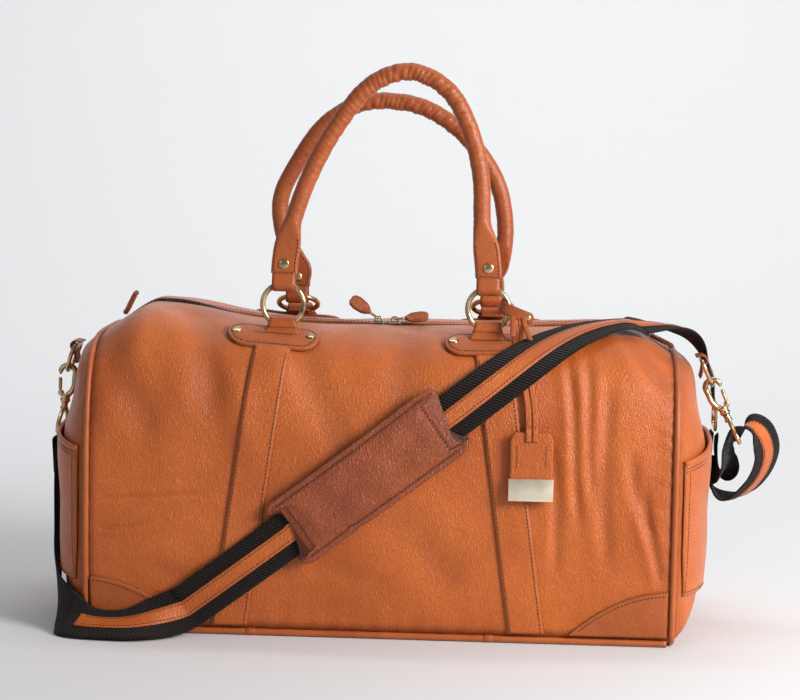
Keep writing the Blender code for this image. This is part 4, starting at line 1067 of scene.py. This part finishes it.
def handle(label, arch, first, last, pin_y, pin_z):
    """A rolled handle: flat riveted tabs that swell into a wrinkled tube."""
    body = label + "_handle"
    low = pin_z + 0.0075
    left = [(-0.0905, low), (-0.0902, low + 0.008), (-0.0893, low + 0.017)]
    right = [(0.0893, low + 0.017), (0.0902, low + 0.008), (0.0905, low)]
    keys = [(x, pin_y, z) for x, z in left + [first] + arch + [last] + right]
    count = 420
    path, length = catmull(np.array(keys), count)
    run = np.linspace(0, length, count)
    from_end = np.minimum(run, length - run)
    roundness = smooth((from_end - 0.024) / 0.030)
    wide = 0.01170 * (1 - roundness) + 0.0077 * roundness
    deep = 0.0031 * (1 - roundness) + 0.0077 * roundness
    swell = 0.0010 * np.exp(-((from_end - 0.043) / 0.010) ** 2)
    deep = deep + swell
    power = 5.5 * (1 - roundness) + 2.0 * roundness
    start = smooth(from_end / 0.0016)
    wide, deep = wide * (0.55 + 0.45 * start), deep * (0.35 + 0.65 * start)
    ahead = unit(np.gradient(path, axis=0))
    depth_way = np.array([0.0, 1.0, 0.0])
    side_way = unit(np.cross(ahead, depth_way))
    sides = 36
    turns = np.linspace(0, 2 * math.pi, sides, endpoint=False)
    c, s = np.cos(turns), np.sin(turns)
    exponent = 2.0 / power[:, None]
    across = wide[:, None] * np.sign(c) * np.abs(c) ** exponent
    outward = deep[:, None] * np.sign(s) * np.abs(s) ** exponent
    curve = np.linalg.norm(np.gradient(ahead, axis=0), axis=1)
    top = np.exp(-((run / length - 0.5) / 0.17) ** 2)
    fine = np.sin(run[:, None] * 1150 + 1.3 * np.sin(turns * 2)[None] + 2.0 * np.sin(run * 160)[:, None])
    slow = np.sin(run[:, None] * 430 + 2.2 * np.cos(turns)[None] + 1.5 * np.sin(run * 90)[:, None])
    inner = 0.5 + 0.5 * np.cos(turns - (math.pi if label == "front" else math.pi))[None]
    wrinkle = (0.00038 * fine + 0.00042 * slow) * (0.25 + 0.75 * top[:, None]) * (0.45 + 0.55 * inner)
    wrinkle = wrinkle * roundness[:, None]
    shape = (path[:, None] + side_way[:, None] * (across * (1 + wrinkle / 0.0077))[..., None]
             + depth_way * (outward * (1 + wrinkle / 0.0077))[..., None])
    # Painted shade in the wrinkles' valleys, and darker at the flat ends.
    marks = np.clip(-wrinkle / 0.0009, 0, 0.35) + 0.5 * edge_marks(from_end, 0.0016)[:, None]
    tube_piece = grid_object(body + "_leather", shape, wrap_v=True, caps=True, marks=marks)
    dress(tube_piece, ROLLED, body, ("handle_" + label,))
    rows, loops = [], []
    pick = from_end < 0.036
    for hand_label, hand in HANDS:
        half = pick & (path[:, 0] * hand > 0)
        for edge in (-1, 1):
            for face in (-1, 1):
                line = path[half] + side_way[half] * (edge * (wide[half] - 0.0024))[:, None]
                line = line + depth_way * face * (deep[half] * 0.985)[:, None]
                rows.append((line[3:-1], np.broadcast_to(face * depth_way, line[3:-1].shape)))
        x0 = hand * 0.0905
        for face in (-1, 1):
            across = np.stack([np.linspace(x0 - 0.0085, x0 + 0.0085, 20), np.full(20, pin_y + face * 0.0030),
                               np.full(20, low + 0.0030)], 1)
            rows.append((across, np.broadcast_to(face * depth_way, across.shape)))
        arc = np.linspace(math.pi, 2 * math.pi, 24)
        keys = [(-0.0022, low + 0.0020), (-0.0034, low - 0.0006)]
        keys += [(0.0058 * math.cos(a), pin_z + 0.0058 * math.sin(a)) for a in arc]
        keys += [(0.0034, low - 0.0006), (0.0022, low + 0.0020)]
        line, _ = catmull(np.array([(0.0, y, z) for y, z in keys]), 70)
        k = np.linspace(-1, 1, 11)
        middle = np.stack(np.broadcast_arrays(x0 + 0.0104 * k[None], pin_y + line[:, 1:2], line[:, 2:3]), -1)
        loops.append(band(f"loop_{hand_label}", middle, 0.0020, flip=False))
        for face in (-1, 1):
            rivet(f"{body}_rivet_{hand_label}_{'front' if face < 0 else 'rear'}",
                  (x0, pin_y + face * 0.0034, low + 0.0105), (0, face, 0), 0.0046, 0.0012, body)
    dress(joined(body + "_loops", loops), ROLLED, body)
    middle = (from_end > 0.060)
    line = path[middle] - side_way[middle] * (wide[middle] * 0.93)[:, None] * 1.0 + depth_way * 0.0026
    if label == "rear":
        rows.append((line, unit(-side_way[middle] + 0.35 * depth_way)))
    stitches(body + "_thread", rows, body)


# End fittings

def rounded_closed(keys, count):
    """A smooth closed curve through the keys."""
    keys = np.asarray(keys, float)
    looped = np.vstack([keys[-2:], keys, keys[:3]])
    fine = []
    for i in range(1, len(keys) + 2):
        a, b, c, d = looped[i - 1], looped[i], looped[i + 1], looped[min(i + 2, len(looped) - 1)]
        for t in np.linspace(0, 1, 16, endpoint=False):
            fine.append(0.5 * (2 * b + (c - a) * t + (2 * a - 5 * b + 4 * c - d) * t ** 2
                               + (3 * b - a - 3 * c + d) * t ** 3))
    fine = np.array(fine[16:16 + 16 * len(keys)])
    closed = np.vstack([fine, fine[:1]])
    run = np.concatenate([[0], np.cumsum(np.linalg.norm(np.diff(closed, axis=0), axis=1))])
    even = np.linspace(0, run[-1], count, endpoint=False)
    return np.stack([np.interp(even, run, closed[:, k]) for k in range(3)], 1)


def end_fittings():
    for label, side, bar_x, ring_lean, hook_lean in (("left", -1, -0.2860, 20, 6), ("right", 1, 0.2825, 24, 27)):
        clip = label + "_clip"
        bar = np.array([bar_x, -0.016, 0.243])
        arc = np.radians(np.linspace(-80, 100, 20))
        path = [(bar[0] * side - 0.0012, bar[2] - 0.016), (bar[0] * side + 0.0002, bar[2] - 0.010)]
        path += [(bar[0] * side + 0.0045 * math.cos(a), bar[2] + 0.0045 * math.sin(a)) for a in arc]
        path.append((bar[0] * side - 0.0056, bar[2] + 0.0035))
        line, _ = catmull(np.array([(side * x, 0.0, z) for x, z in path]), 60)
        k = np.linspace(-1, 1, 13)
        middle = np.stack(np.broadcast_arrays(line[:, 0:1], bar[1] + 0.0125 * k[None], line[:, 2:3]), -1)
        dress(band("ring_tab_" + label, middle, 0.0018, flip=side < 0), TRIM,
              stands_for=("d_ring_tab_" + label,))
        up = surface_normals(middle, side < 0)
        stitches("ring_tab_thread_" + label,
                 [(middle[3:30, c] + up[3:30, c] * 0.0009, up[3:30, c]) for c in (1, -2)], pitch=0.003, length=0.0022)
        down = np.array([side * math.sin(math.radians(ring_lean)), 0, -math.cos(math.radians(ring_lean))])
        across = np.array([0, 1.0, 0])
        points = [bar + across * 0.0185 * k for k in (-0.92, -0.5, 0.0, 0.5, 0.92)]
        for a in np.linspace(0, math.pi, 25):
            points.append(bar + across * 0.0185 * math.cos(a) + down * (0.004 + 0.021 * math.sin(a)))
        dress(tube("d_wire_" + label, points, 0.0019, 16, closed=True), BRASS, clip, ("d_ring_" + label,))
        seat = bar + down * 0.025
        lean = math.radians(hook_lean)
        along = np.array([side * math.sin(lean), 0, -math.cos(lean)])
        outer = np.array([side * math.cos(lean), 0, math.sin(lean)])
        bow = seat + along * (0.0068 - 0.0024 - 0.0019 - 0.0004)

        def at(d, a):
            return bow + along * d + outer * a

        spine = [at(0.0215, -0.001), at(0.0195, -0.0030), at(0.0170, -0.0050), at(0.0120, -0.0068), at(0.0060, -0.0068)]
        spine += [at(-0.0068 * math.sin(a), 0.0068 * math.cos(a)) for a in np.radians(np.linspace(180, -20, 14))]
        wire, _ = catmull(np.array(spine), 90)
        thick = np.interp(np.linspace(0, 1, 90), [0, 0.25, 0.6, 0.93, 1], [0.0027, 0.0025, 0.0026, 0.0024, 0.0010])
        parts = [tube("spine", wire, thick, 18)]
        collar = [(0.0030, -0.0040), (0.0044, -0.0034), (0.0047, -0.0028), (0.0047, -0.0012), (0.0042, -0.0006),
                  (0.0042, 0.0006), (0.0047, 0.0012), (0.0047, 0.0028), (0.0044, 0.0034), (0.0030, 0.0040)]
        parts.append(turned("collar", collar, at(0.0235, 0.0), along))
        parts.append(turned("heel", [(0.0018, -0.0027), (0.0026, -0.0021), (0.0026, 0.0021), (0.0018, 0.0027)],
                            at(0.0192, 0.0045), (0, 1, 0), 20))
        dress(joined("hook_body_" + label, parts), BRASS, clip, ("hook_" + label,))
        foot, tip = at(0.0158, 0.0056), at(0.0058, 0.0064)
        bar_points = foot + (tip - foot) * np.linspace(-0.12, 1.05, 16)[:, None]
        gate_width = 0.0017 * np.interp(np.linspace(0, 1, 16), [0, 0.1, 0.9, 1], [0.6, 1, 1, 0.6])
        dress(tube("gate_bar_" + label, bar_points, gate_width, 14), BRASS, label + "_gate",
              ("gate_" + label,))
        eye = [(0.0345, -0.0040), (0.0365, -0.0120), (0.0435, -0.0212), (0.0500, -0.0227), (0.0530, -0.0190),
               (0.0530, -0.0080), (0.0530, 0.0080), (0.0530, 0.0190), (0.0500, 0.0227), (0.0435, 0.0212),
               (0.0365, 0.0120), (0.0345, 0.0040)]
        loop = rounded_closed([at(d, 0.0) + np.array([0, a, 0]) for d, a in eye], 140)
        parts = [tube("eye", loop, 0.0020, 14, closed=True)]
        stem = [(0.0026, -0.0036), (0.0036, -0.0032), (0.0030, -0.0016), (0.0030, 0.0006), (0.0038, 0.0016),
                (0.0038, 0.0030), (0.0026, 0.0038)]
        parts.append(turned("stem", stem, at(0.0309, 0.0), along))
        dress(joined("swivel_eye_" + label, parts), BRASS, clip, ("swivel_" + label,))


# Shoulder strap

def strap_rows(across, xs, out):
    """Points across the strap where its middle crosses the skin at each x."""
    x = xs[:, None] - across[None] * math.sin(STRAP_SLOPE)
    arc = STRAP_ARC + (xs[:, None] - STRAP_X) * math.tan(STRAP_SLOPE) + across[None] * math.cos(STRAP_SLOPE)
    return skin(x, arc / GIRTH, out, FRONT, 0.0)


def strap_frames(xs, out):
    rows = strap_rows(np.array([-0.001, 0.0, 0.001]), xs, out)
    return rows[:, 1], unit(rows[:, 2] - rows[:, 0])


LEFT_HANG = [((-0.3015, -0.016, 0.1520), (0, -1, 0)), ((-0.3020, -0.020, 0.1200), (0, -1, 0)),
             ((-0.2995, -0.032, 0.0800), (0, -0.98, 0.15)), ((-0.2960, -0.055, 0.0480), (0.03, -0.85, 0.50)),
             ((-0.2890, -0.086, 0.0280), (0.10, -0.50, 0.80)), ((-0.2800, -0.116, 0.0200), (0.20, 0.10, 0.76)),
             ((-0.2660, -0.1385, 0.0140), (0.20, 0.60, 0.55)), ((-0.2400, -0.1445, 0.0115), (0.02, 0.90, 0.44)),
             ((-0.2070, -0.1460, 0.0145), (-0.20, 0.74, 0.56))]
RIGHT_DROP = [((0.2530, -0.0230, 0.2725), (-0.55, 0.80, -0.05)), ((0.2710, -0.0030, 0.2620), (-0.35, 0.92, -0.10)),
              ((0.2850, 0.0155, 0.2425), (-0.10, 0.98, 0.12)), ((0.2945, 0.0270, 0.2220), (0.0, 1.0, 0.08)),
              ((0.2965, 0.0300, 0.2040), (0.0, 1.0, 0.0))]
SLACK_LOOP = [(0.2965, 0.030, 0.1730), (0.2950, 0.029, 0.1550), (0.2945, 0.027, 0.1380), (0.2985, 0.024, 0.1215),
              (0.3100, 0.020, 0.1135), (0.3250, 0.014, 0.1180), (0.3390, 0.006, 0.1350), (0.3450, -0.003, 0.1560),
              (0.3400, -0.011, 0.1740), (0.3290, -0.016, 0.1830), (0.3175, -0.016, 0.1792), (0.3095, -0.016, 0.1660),
              (0.3085, -0.008, 0.1500), (0.3065, 0.006, 0.1400), (0.3025, 0.018, 0.1400), (0.3005, 0.027, 0.1560),
              (0.3010, 0.030, 0.1700)]


def framed_rows(keys, across, out, count):
    """Rows across a hanging run of strap from keys of (centre, direction to the upper edge)."""
    table = np.array([np.concatenate([c, unit(a)]) for c, a in keys])
    spots, _ = catmull(table, count)
    centres, way = spots[:, :3], unit(spots[:, 3:])
    ahead = unit(np.gradient(centres, axis=0))
    way = unit(way - ahead * (way * ahead).sum(1, keepdims=True))
    normal = unit(np.cross(ahead, way))
    return centres[:, None] + way[:, None] * across[None, :, None] + normal[:, None] * out


def strap():
    across = np.linspace(-WEB_WIDTH / 2, WEB_WIDTH / 2, 21)
    stripe = np.linspace(-STRIPE_WIDTH / 2, STRIPE_WIDTH / 2, 13)
    rise = WEB / 2 + 0.0008
    first, last, middle = -0.168, 0.222, -0.010

    def key(x):
        c, a = strap_frames(np.array([x]), STRAP_OUT)
        return c[0], a[0]

    for label, xs, keys, count in (
            ("left", np.linspace(first, middle, 90), LEFT_HANG + [key(first), key(first + 0.02)], 170),
            ("right", np.linspace(middle, last, 130), [key(last - 0.02), key(last)] + RIGHT_DROP, 110)):
        pieces = []
        for offsets, out in ((across, 0.0), (stripe, rise)):
            run = strap_rows(offsets, xs, STRAP_OUT + out)
            hang = framed_rows(keys, offsets, out, count)
            centre = framed_rows(keys, np.zeros(1), 0.0, count)[:, 0, 0]
            if label == "left":
                cut = len(centre) - 1 - np.argmax(centre[::-1] < first - 0.001)
                pieces.append(np.concatenate([hang[:cut + 1], run]))
            else:
                cut = np.argmax(centre > last + 0.001)
                pieces.append(np.concatenate([run, hang[cut:]]))
        web, lead = pieces
        lead = lead[np.argmax(lead[:, 6, 2] < 0.03) + 34:] if label == "left" else lead[:-10]
        body = band("webbing_" + label, web, WEB, flip=False, edge=0.0011, uv_width=WEB_WIDTH)
        trim = band("stripe_" + label, lead, 0.0012, flip=False, edge=0.0007)
        up = surface_normals(lead, True)
        rows = [(lead[3:-3, c] + up[3:-3, c] * 0.0006, up[3:-3, c]) for c in (2, -3)]
        dress(body, WEBBING, None)
        dress(trim, TAN, None)
        thread = stitches("stripe_thread_" + label, rows, None, pitch=0.0032, length=0.0025)
        if label == "left":
            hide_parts("strap_webbing")
            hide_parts("strap_leather")
        for piece in (body, trim, thread):
            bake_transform(piece)
    slack_loop()
    strap_ends()


def slack_loop():
    across = np.linspace(-0.019, 0.019, 21)
    swing = [smooth((c[0] - 0.299) / 0.022) for c in SLACK_LOOP]
    keys = [(c, (0.62 * w, 1.0 - 0.25 * w, 0.10 * w)) for c, w in zip(SLACK_LOOP, swing)]
    loop = framed_rows(keys, across, 0.0, 240)
    dress(band("slack_webbing", loop, WEB, edge=0.0011, uv_width=0.038), WEBBING, "right_clip",
          ("strap_slack_loop",))
    stripe = framed_rows(keys, np.linspace(-0.0078, 0.0078, 11), 0.0, 240)
    up = surface_normals(loop)[:, 10:11]
    trim = stripe[6:150] - up[6:150] * (WEB / 2 + 0.0006) * SLACK_FACE
    dress(band("slack_stripe", trim, 0.0012, edge=0.0007), TAN, "right_clip")
    face = -SLACK_FACE * surface_normals(trim)
    stitches("slack_thread", [(trim[3:-3, c] + face[3:-3, c] * 0.0006, face[3:-3, c]) for c in (1, -2)],
             "right_clip", pitch=0.0032, length=0.0025)


SLACK_FACE = -1


def strap_ends():
    """The folded end round the left swivel eye, and the three-bar slide."""
    across = np.linspace(-0.0185, 0.0185, 17)
    bar = np.array([-0.3015, -0.016, 0.1565])
    turn = np.linspace(-0.5 * math.pi, 1.25 * math.pi, 26)
    keys = [(bar[0] + 0.0022, bar[2] - 0.030), (bar[0] + 0.0030, bar[2] - 0.014)]
    keys += [(bar[0] + 0.0038 * math.cos(a), bar[2] + 0.0038 * math.sin(a)) for a in np.linspace(-0.15, math.pi + 0.1, 14)]
    keys += [(bar[0] - 0.0030, bar[2] - 0.014), (bar[0] - 0.0022, bar[2] - 0.030)]
    line, _ = catmull(np.array([(x, 0.0, z) for x, z in keys]), 80)
    middle = np.stack(np.broadcast_arrays(line[:, 0:1], bar[1] + across[None], line[:, 2:3]), -1)
    dress(band("strap_fold_left", middle, 0.0019, flip=False, edge=0.0011, uv_width=0.037), WEBBING,
          "left_clip")
    frame_parts = []
    centre = np.array([0.2985, 0.030, 0.1880])
    corners = [(0.0215, 0.0110), (-0.0215, 0.0110), (-0.0215, -0.0110), (0.0215, -0.0110)]
    loop = []
    for (y, z), quarter in zip(corners, (0, 1, 2, 3)):
        for a in np.linspace(0, math.pi / 2, 7):
            b = a + quarter * math.pi / 2
            sign_y, sign_z = np.sign(y), np.sign(z)
            loop.append(centre + [0, y - sign_y * 0.0020 + 0.0030 * math.cos(b), z - sign_z * 0.0020 + 0.0030 * math.sin(b)])
    frame_parts.append(tube("outer", loop, 0.0015, 12, closed=True))
    bar_line = centre + np.stack([np.zeros(12), np.linspace(-0.0220, 0.0220, 12), np.zeros(12)], 1)
    frame_parts.append(tube("bar", bar_line, 0.0014, 12))
    dress(joined("adjuster_slide", frame_parts), BRASS, "right_clip", ("strap_adjuster",))


PAD_THREAD_OUT = 0.0056


def pad_spot(run, across, out):
    along, rise = math.cos(STRAP_SLOPE), math.sin(STRAP_SLOPE)
    x = STRAP_X + run * along - across * rise
    arc = STRAP_ARC + run * rise + across * along
    clear = 0.0011 * smooth((run - 0.030) / 0.055) * smooth((out - STRAP_OUT) / 0.0025)
    return skin(x, arc / GIRTH, out + clear, FRONT, 0.0)


def shoulder_pad():
    """A stuffed sleeve: horned front cover over the strap and a thin back."""
    edge, corner, length = 0.0315, 0.012, 0.0920

    def half_run(a, notch):
        bend = np.maximum(np.abs(a) - (edge - corner), 0)
        bay = notch * smooth((0.0245 - np.abs(a)) / 0.0035)
        return length - bay - (corner - np.sqrt(np.maximum(corner ** 2 - bend ** 2, 0)))

    spread = np.sin(np.linspace(-math.pi / 2, math.pi / 2, 90))
    a = edge * np.sign(spread) * np.abs(spread) ** 0.9
    u = np.linspace(-1, 1, 200)
    u = np.sign(u) * (1 - (1 - np.abs(u)) ** 1.25)
    for name, notch, base, filling in (("cover", 0.0135, STRAP_OUT + 0.0034, 0.0032), ("back", 0.0, STRAP_OUT - 0.0036, 0.0)):
        run = half_run(a, notch)[None] * u[:, None]
        wide = np.broadcast_to(a[None], run.shape)
        gap = np.minimum(edge - np.abs(wide), half_run(a, notch)[None] - np.abs(run))
        gap = np.maximum(gap, 0.0)
        dome = filling * smooth(gap / 0.020) ** 0.6 - (0.0005 * np.exp(-((gap - 0.0052) / 0.0013) ** 2) if filling else 0)
        wrinkle = 0.00035 * np.sin(190 * run + 45 * wide) + 0.0003 * np.sin(85 * run - 160 * wide + 1.2)
        top = pad_spot(run, wide, base + 0.0007 + dome + (wrinkle * smooth((gap - 0.006) / 0.01) if filling else 0))
        low = pad_spot(run, wide, base - 0.0007 - 0.0 * dome)
        shape = np.concatenate([top, low[:, ::-1]], 1)
        # Darker at the edges, with painted shade in the groove along the stitch line.
        marks = 0.7 * edge_marks(gap, 0.0012) + (0.45 * np.exp(-((gap - 0.0052) / 0.0015) ** 2) if filling else 0)
        piece = grid_object("pad_" + name, shape, flip=False, wrap_v=True, caps=True,
                            marks=np.concatenate([marks, marks[:, ::-1]], 1))
        dress(piece, PAD_LEATHER, "pad", ("shoulder_pad",) if name == "cover" else ())
    rows = []
    inset = 0.0052
    a = np.linspace(-(edge - inset), edge - inset, 160)
    for end in (-1, 1):
        line = end * (half_run(np.sign(a) * np.minimum(np.abs(a) * 1.0 + 0.0, edge), 0.0135) - inset)
        rows.append((pad_spot(line, a, STRAP_OUT + PAD_THREAD_OUT), unit(pad_spot(line, a, 0.01) - pad_spot(line, a, 0.009))))
    reach = length - corner
    for side in (-1, 1):
        line = np.linspace(-reach, reach, 120)
        wide = np.full(120, side * (edge - inset))
        rows.append((pad_spot(line, wide, STRAP_OUT + PAD_THREAD_OUT),
                     unit(pad_spot(line, wide, 0.01) - pad_spot(line, wide, 0.009))))
    stitches("pad_thread", rows, "pad")
    sides = []
    for side in (-1, 1):
        run = np.linspace(-length + 0.010, length - 0.010, 80)
        wide = np.full(80, side * (edge - 0.0012))
        rise = np.linspace(STRAP_OUT - 0.0036, STRAP_OUT + 0.0034, 7)
        wall = np.stack([pad_spot(run, wide, r) for r in rise], 1)
        sides.append(band("wall", wall, 0.0016, edge=0.0005))
    dress(joined("pad_walls", sides), PAD_LEATHER, "pad")


# Luggage tag

def tag():
    x, top, low, y = 0.1325, 0.1890, 0.1290, -0.1350
    zs, k = np.linspace(low, top, 60), np.linspace(-1, 1, 33)
    half = np.full(60, 0.019)
    half -= 0.0042 * np.clip((zs - (top - 0.009)) / 0.009, 0, 1) ** 2 + 0.0010 * np.clip((low + 0.002 - zs) / 0.002, 0, 1) ** 2
    bend = 0.0006 * np.sin((zs - low) * 60)
    middle = np.stack(np.broadcast_arrays(x + half[:, None] * k, y + bend[:, None], zs[:, None]), -1)
    dress(band("tag_hide", middle, 0.0028, edge=0.0010), TAN, "tag", ("tag_leather",))
    rows = []
    for edge in (-0.0125, 0.0125):
        rise = np.linspace(low + 0.029, top - 0.010, 50)
        line = np.stack([np.full(50, x + edge), y - 0.0015 + np.interp(rise, zs, bend), rise], 1)
        rows.append((line, np.broadcast_to(np.array([0, -1.0, 0]), line.shape)))
    stitches("tag_thread", rows, "tag", pitch=0.0028, length=0.0021, radius=0.00035)
    plate = slab("tag_band", (0.0388, 0.0011, 0.0196), (x, y - 0.0022, low + 0.0097), bevel=0.0004)
    dress(plate, PALE_BRASS, "tag", ("tag_plate",))
    leaves, seams = [], []
    for offset in (-0.0029, 0.0029):
        ss = np.linspace(0.508, 0.745, 12)
        mid = 0.1320 - 0.014 * smooth((ss - 0.53) / 0.24) + offset
        keys = list(skin(mid, ss, 0.0042 + 0.0010 * np.sin(12 * ss), FRONT, 0.3))
        keys += [(0.1175 + offset, -0.0930, 0.2785), (0.1165 + offset, -0.0850, 0.2860)]
        line, _ = catmull(np.array(keys), 110)
        middle = line[:, None] + np.linspace(-0.0026, 0.0026, 9)[None, :, None] * np.array([1.0, 0, 0])
        leaves.append(band("leaf", middle, 0.0017, edge=0.0007))
    zs = np.linspace(top - 0.0085, top + 0.004, 24)
    for offset in (-0.0029, 0.0029):
        k = np.linspace(-1, 1, 9)
        reach = y - 0.0024 + 0.0013 * smooth((zs - top + 0.001) / 0.004)
        middle = np.stack(np.broadcast_arrays(x + offset + 0.0026 * k[None], reach[:, None], zs[:, None]), -1)
        seams.append(band("fold", middle, 0.0016, edge=0.0007))
    dress(joined("tag_leaves", leaves), TAN, stands_for=("tag_strap",))
    dress(joined("tag_fold", seams), TAN, "tag")
    path = [(0.1075, -0.0725, 0.2925), (0.1030, -0.0745, 0.2945), (0.1015, -0.0795, 0.2940),
            (0.1065, -0.0865, 0.2915), (0.1175, -0.0900, 0.2872), (0.1310, -0.0895, 0.2822)]
    line, _ = catmull(np.array(path), 60)
    half = 0.0052 * np.sqrt(np.clip(1 - ((np.linspace(0, 1, 60) - 0.90) / 0.11).clip(0, 1) ** 2, 0.1, 1))
    tall = np.array([0.30, 0.0, 0.95])
    middle = line[:, None] + (half[:, None] * np.linspace(-1, 1, 11))[..., None] * tall
    keeper = dress(band("tag_keeper", middle, 0.0018, edge=0.0009), ROLLED, None)
    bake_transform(keeper)
    rivet("tag_keeper_rivet", (0.1262, -0.0908, 0.2842), (0, -1, 0.05), 0.0026, 0.0010)
    ends = []
    for x0, x1, low_z in ((0.1125, 0.1135, 0.268), (0.1225, 0.1290, 0.2655)):
        keys = [(x0, -0.0872, 0.2880), (x0 + 0.001, -0.0945, 0.2790), (x1, -0.1010, low_z)]
        line, _ = catmull(np.array(keys), 40)
        middle = line[:, None] + np.linspace(-0.0024, 0.0024, 7)[None, :, None] * np.array([1.0, 0, 0])
        ends.append(band("thong_end", middle, 0.0016, edge=0.0007))
    dress(joined("tag_thong_ends", ends), ROLLED)


def carried(node, look):
    """A CAD node that is shown as it is, in a better material."""
    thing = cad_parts[node]
    thing.data.materials.clear()
    thing.data.materials.append(look)


DARK_METAL = brass("dark_teeth", (0.10, 0.085, 0.07), (0.03, 0.025, 0.02), 0.35)

camera()
stage()
long_panel("front_leather", "front_panel", FRONT)
long_panel("back_leather", "back_panel", REAR)
for label, side in HANDS:
    end_panel("end_leather_" + label, "end_panel_" + label, side)
    end_pocket("pocket_leather_" + label, "end_pocket_" + label, side)
piping()
strips()
corner_patches()
zip_tapes()
zip_parts()
anchors()
rings()
handle("front", FRONT_ARCH, (-0.0875, 0.3440), (0.0878, 0.3440), -0.076, 0.3081)
handle("rear", REAR_ARCH, (-0.0950, 0.3220), (0.0950, 0.3220), 0.0431, 0.28754)
end_fittings()
strap()
shoulder_pad()
tag()
carried("lining", LINING)
carried("base_board", BOARD)
carried("bottom_panel", TRIM)
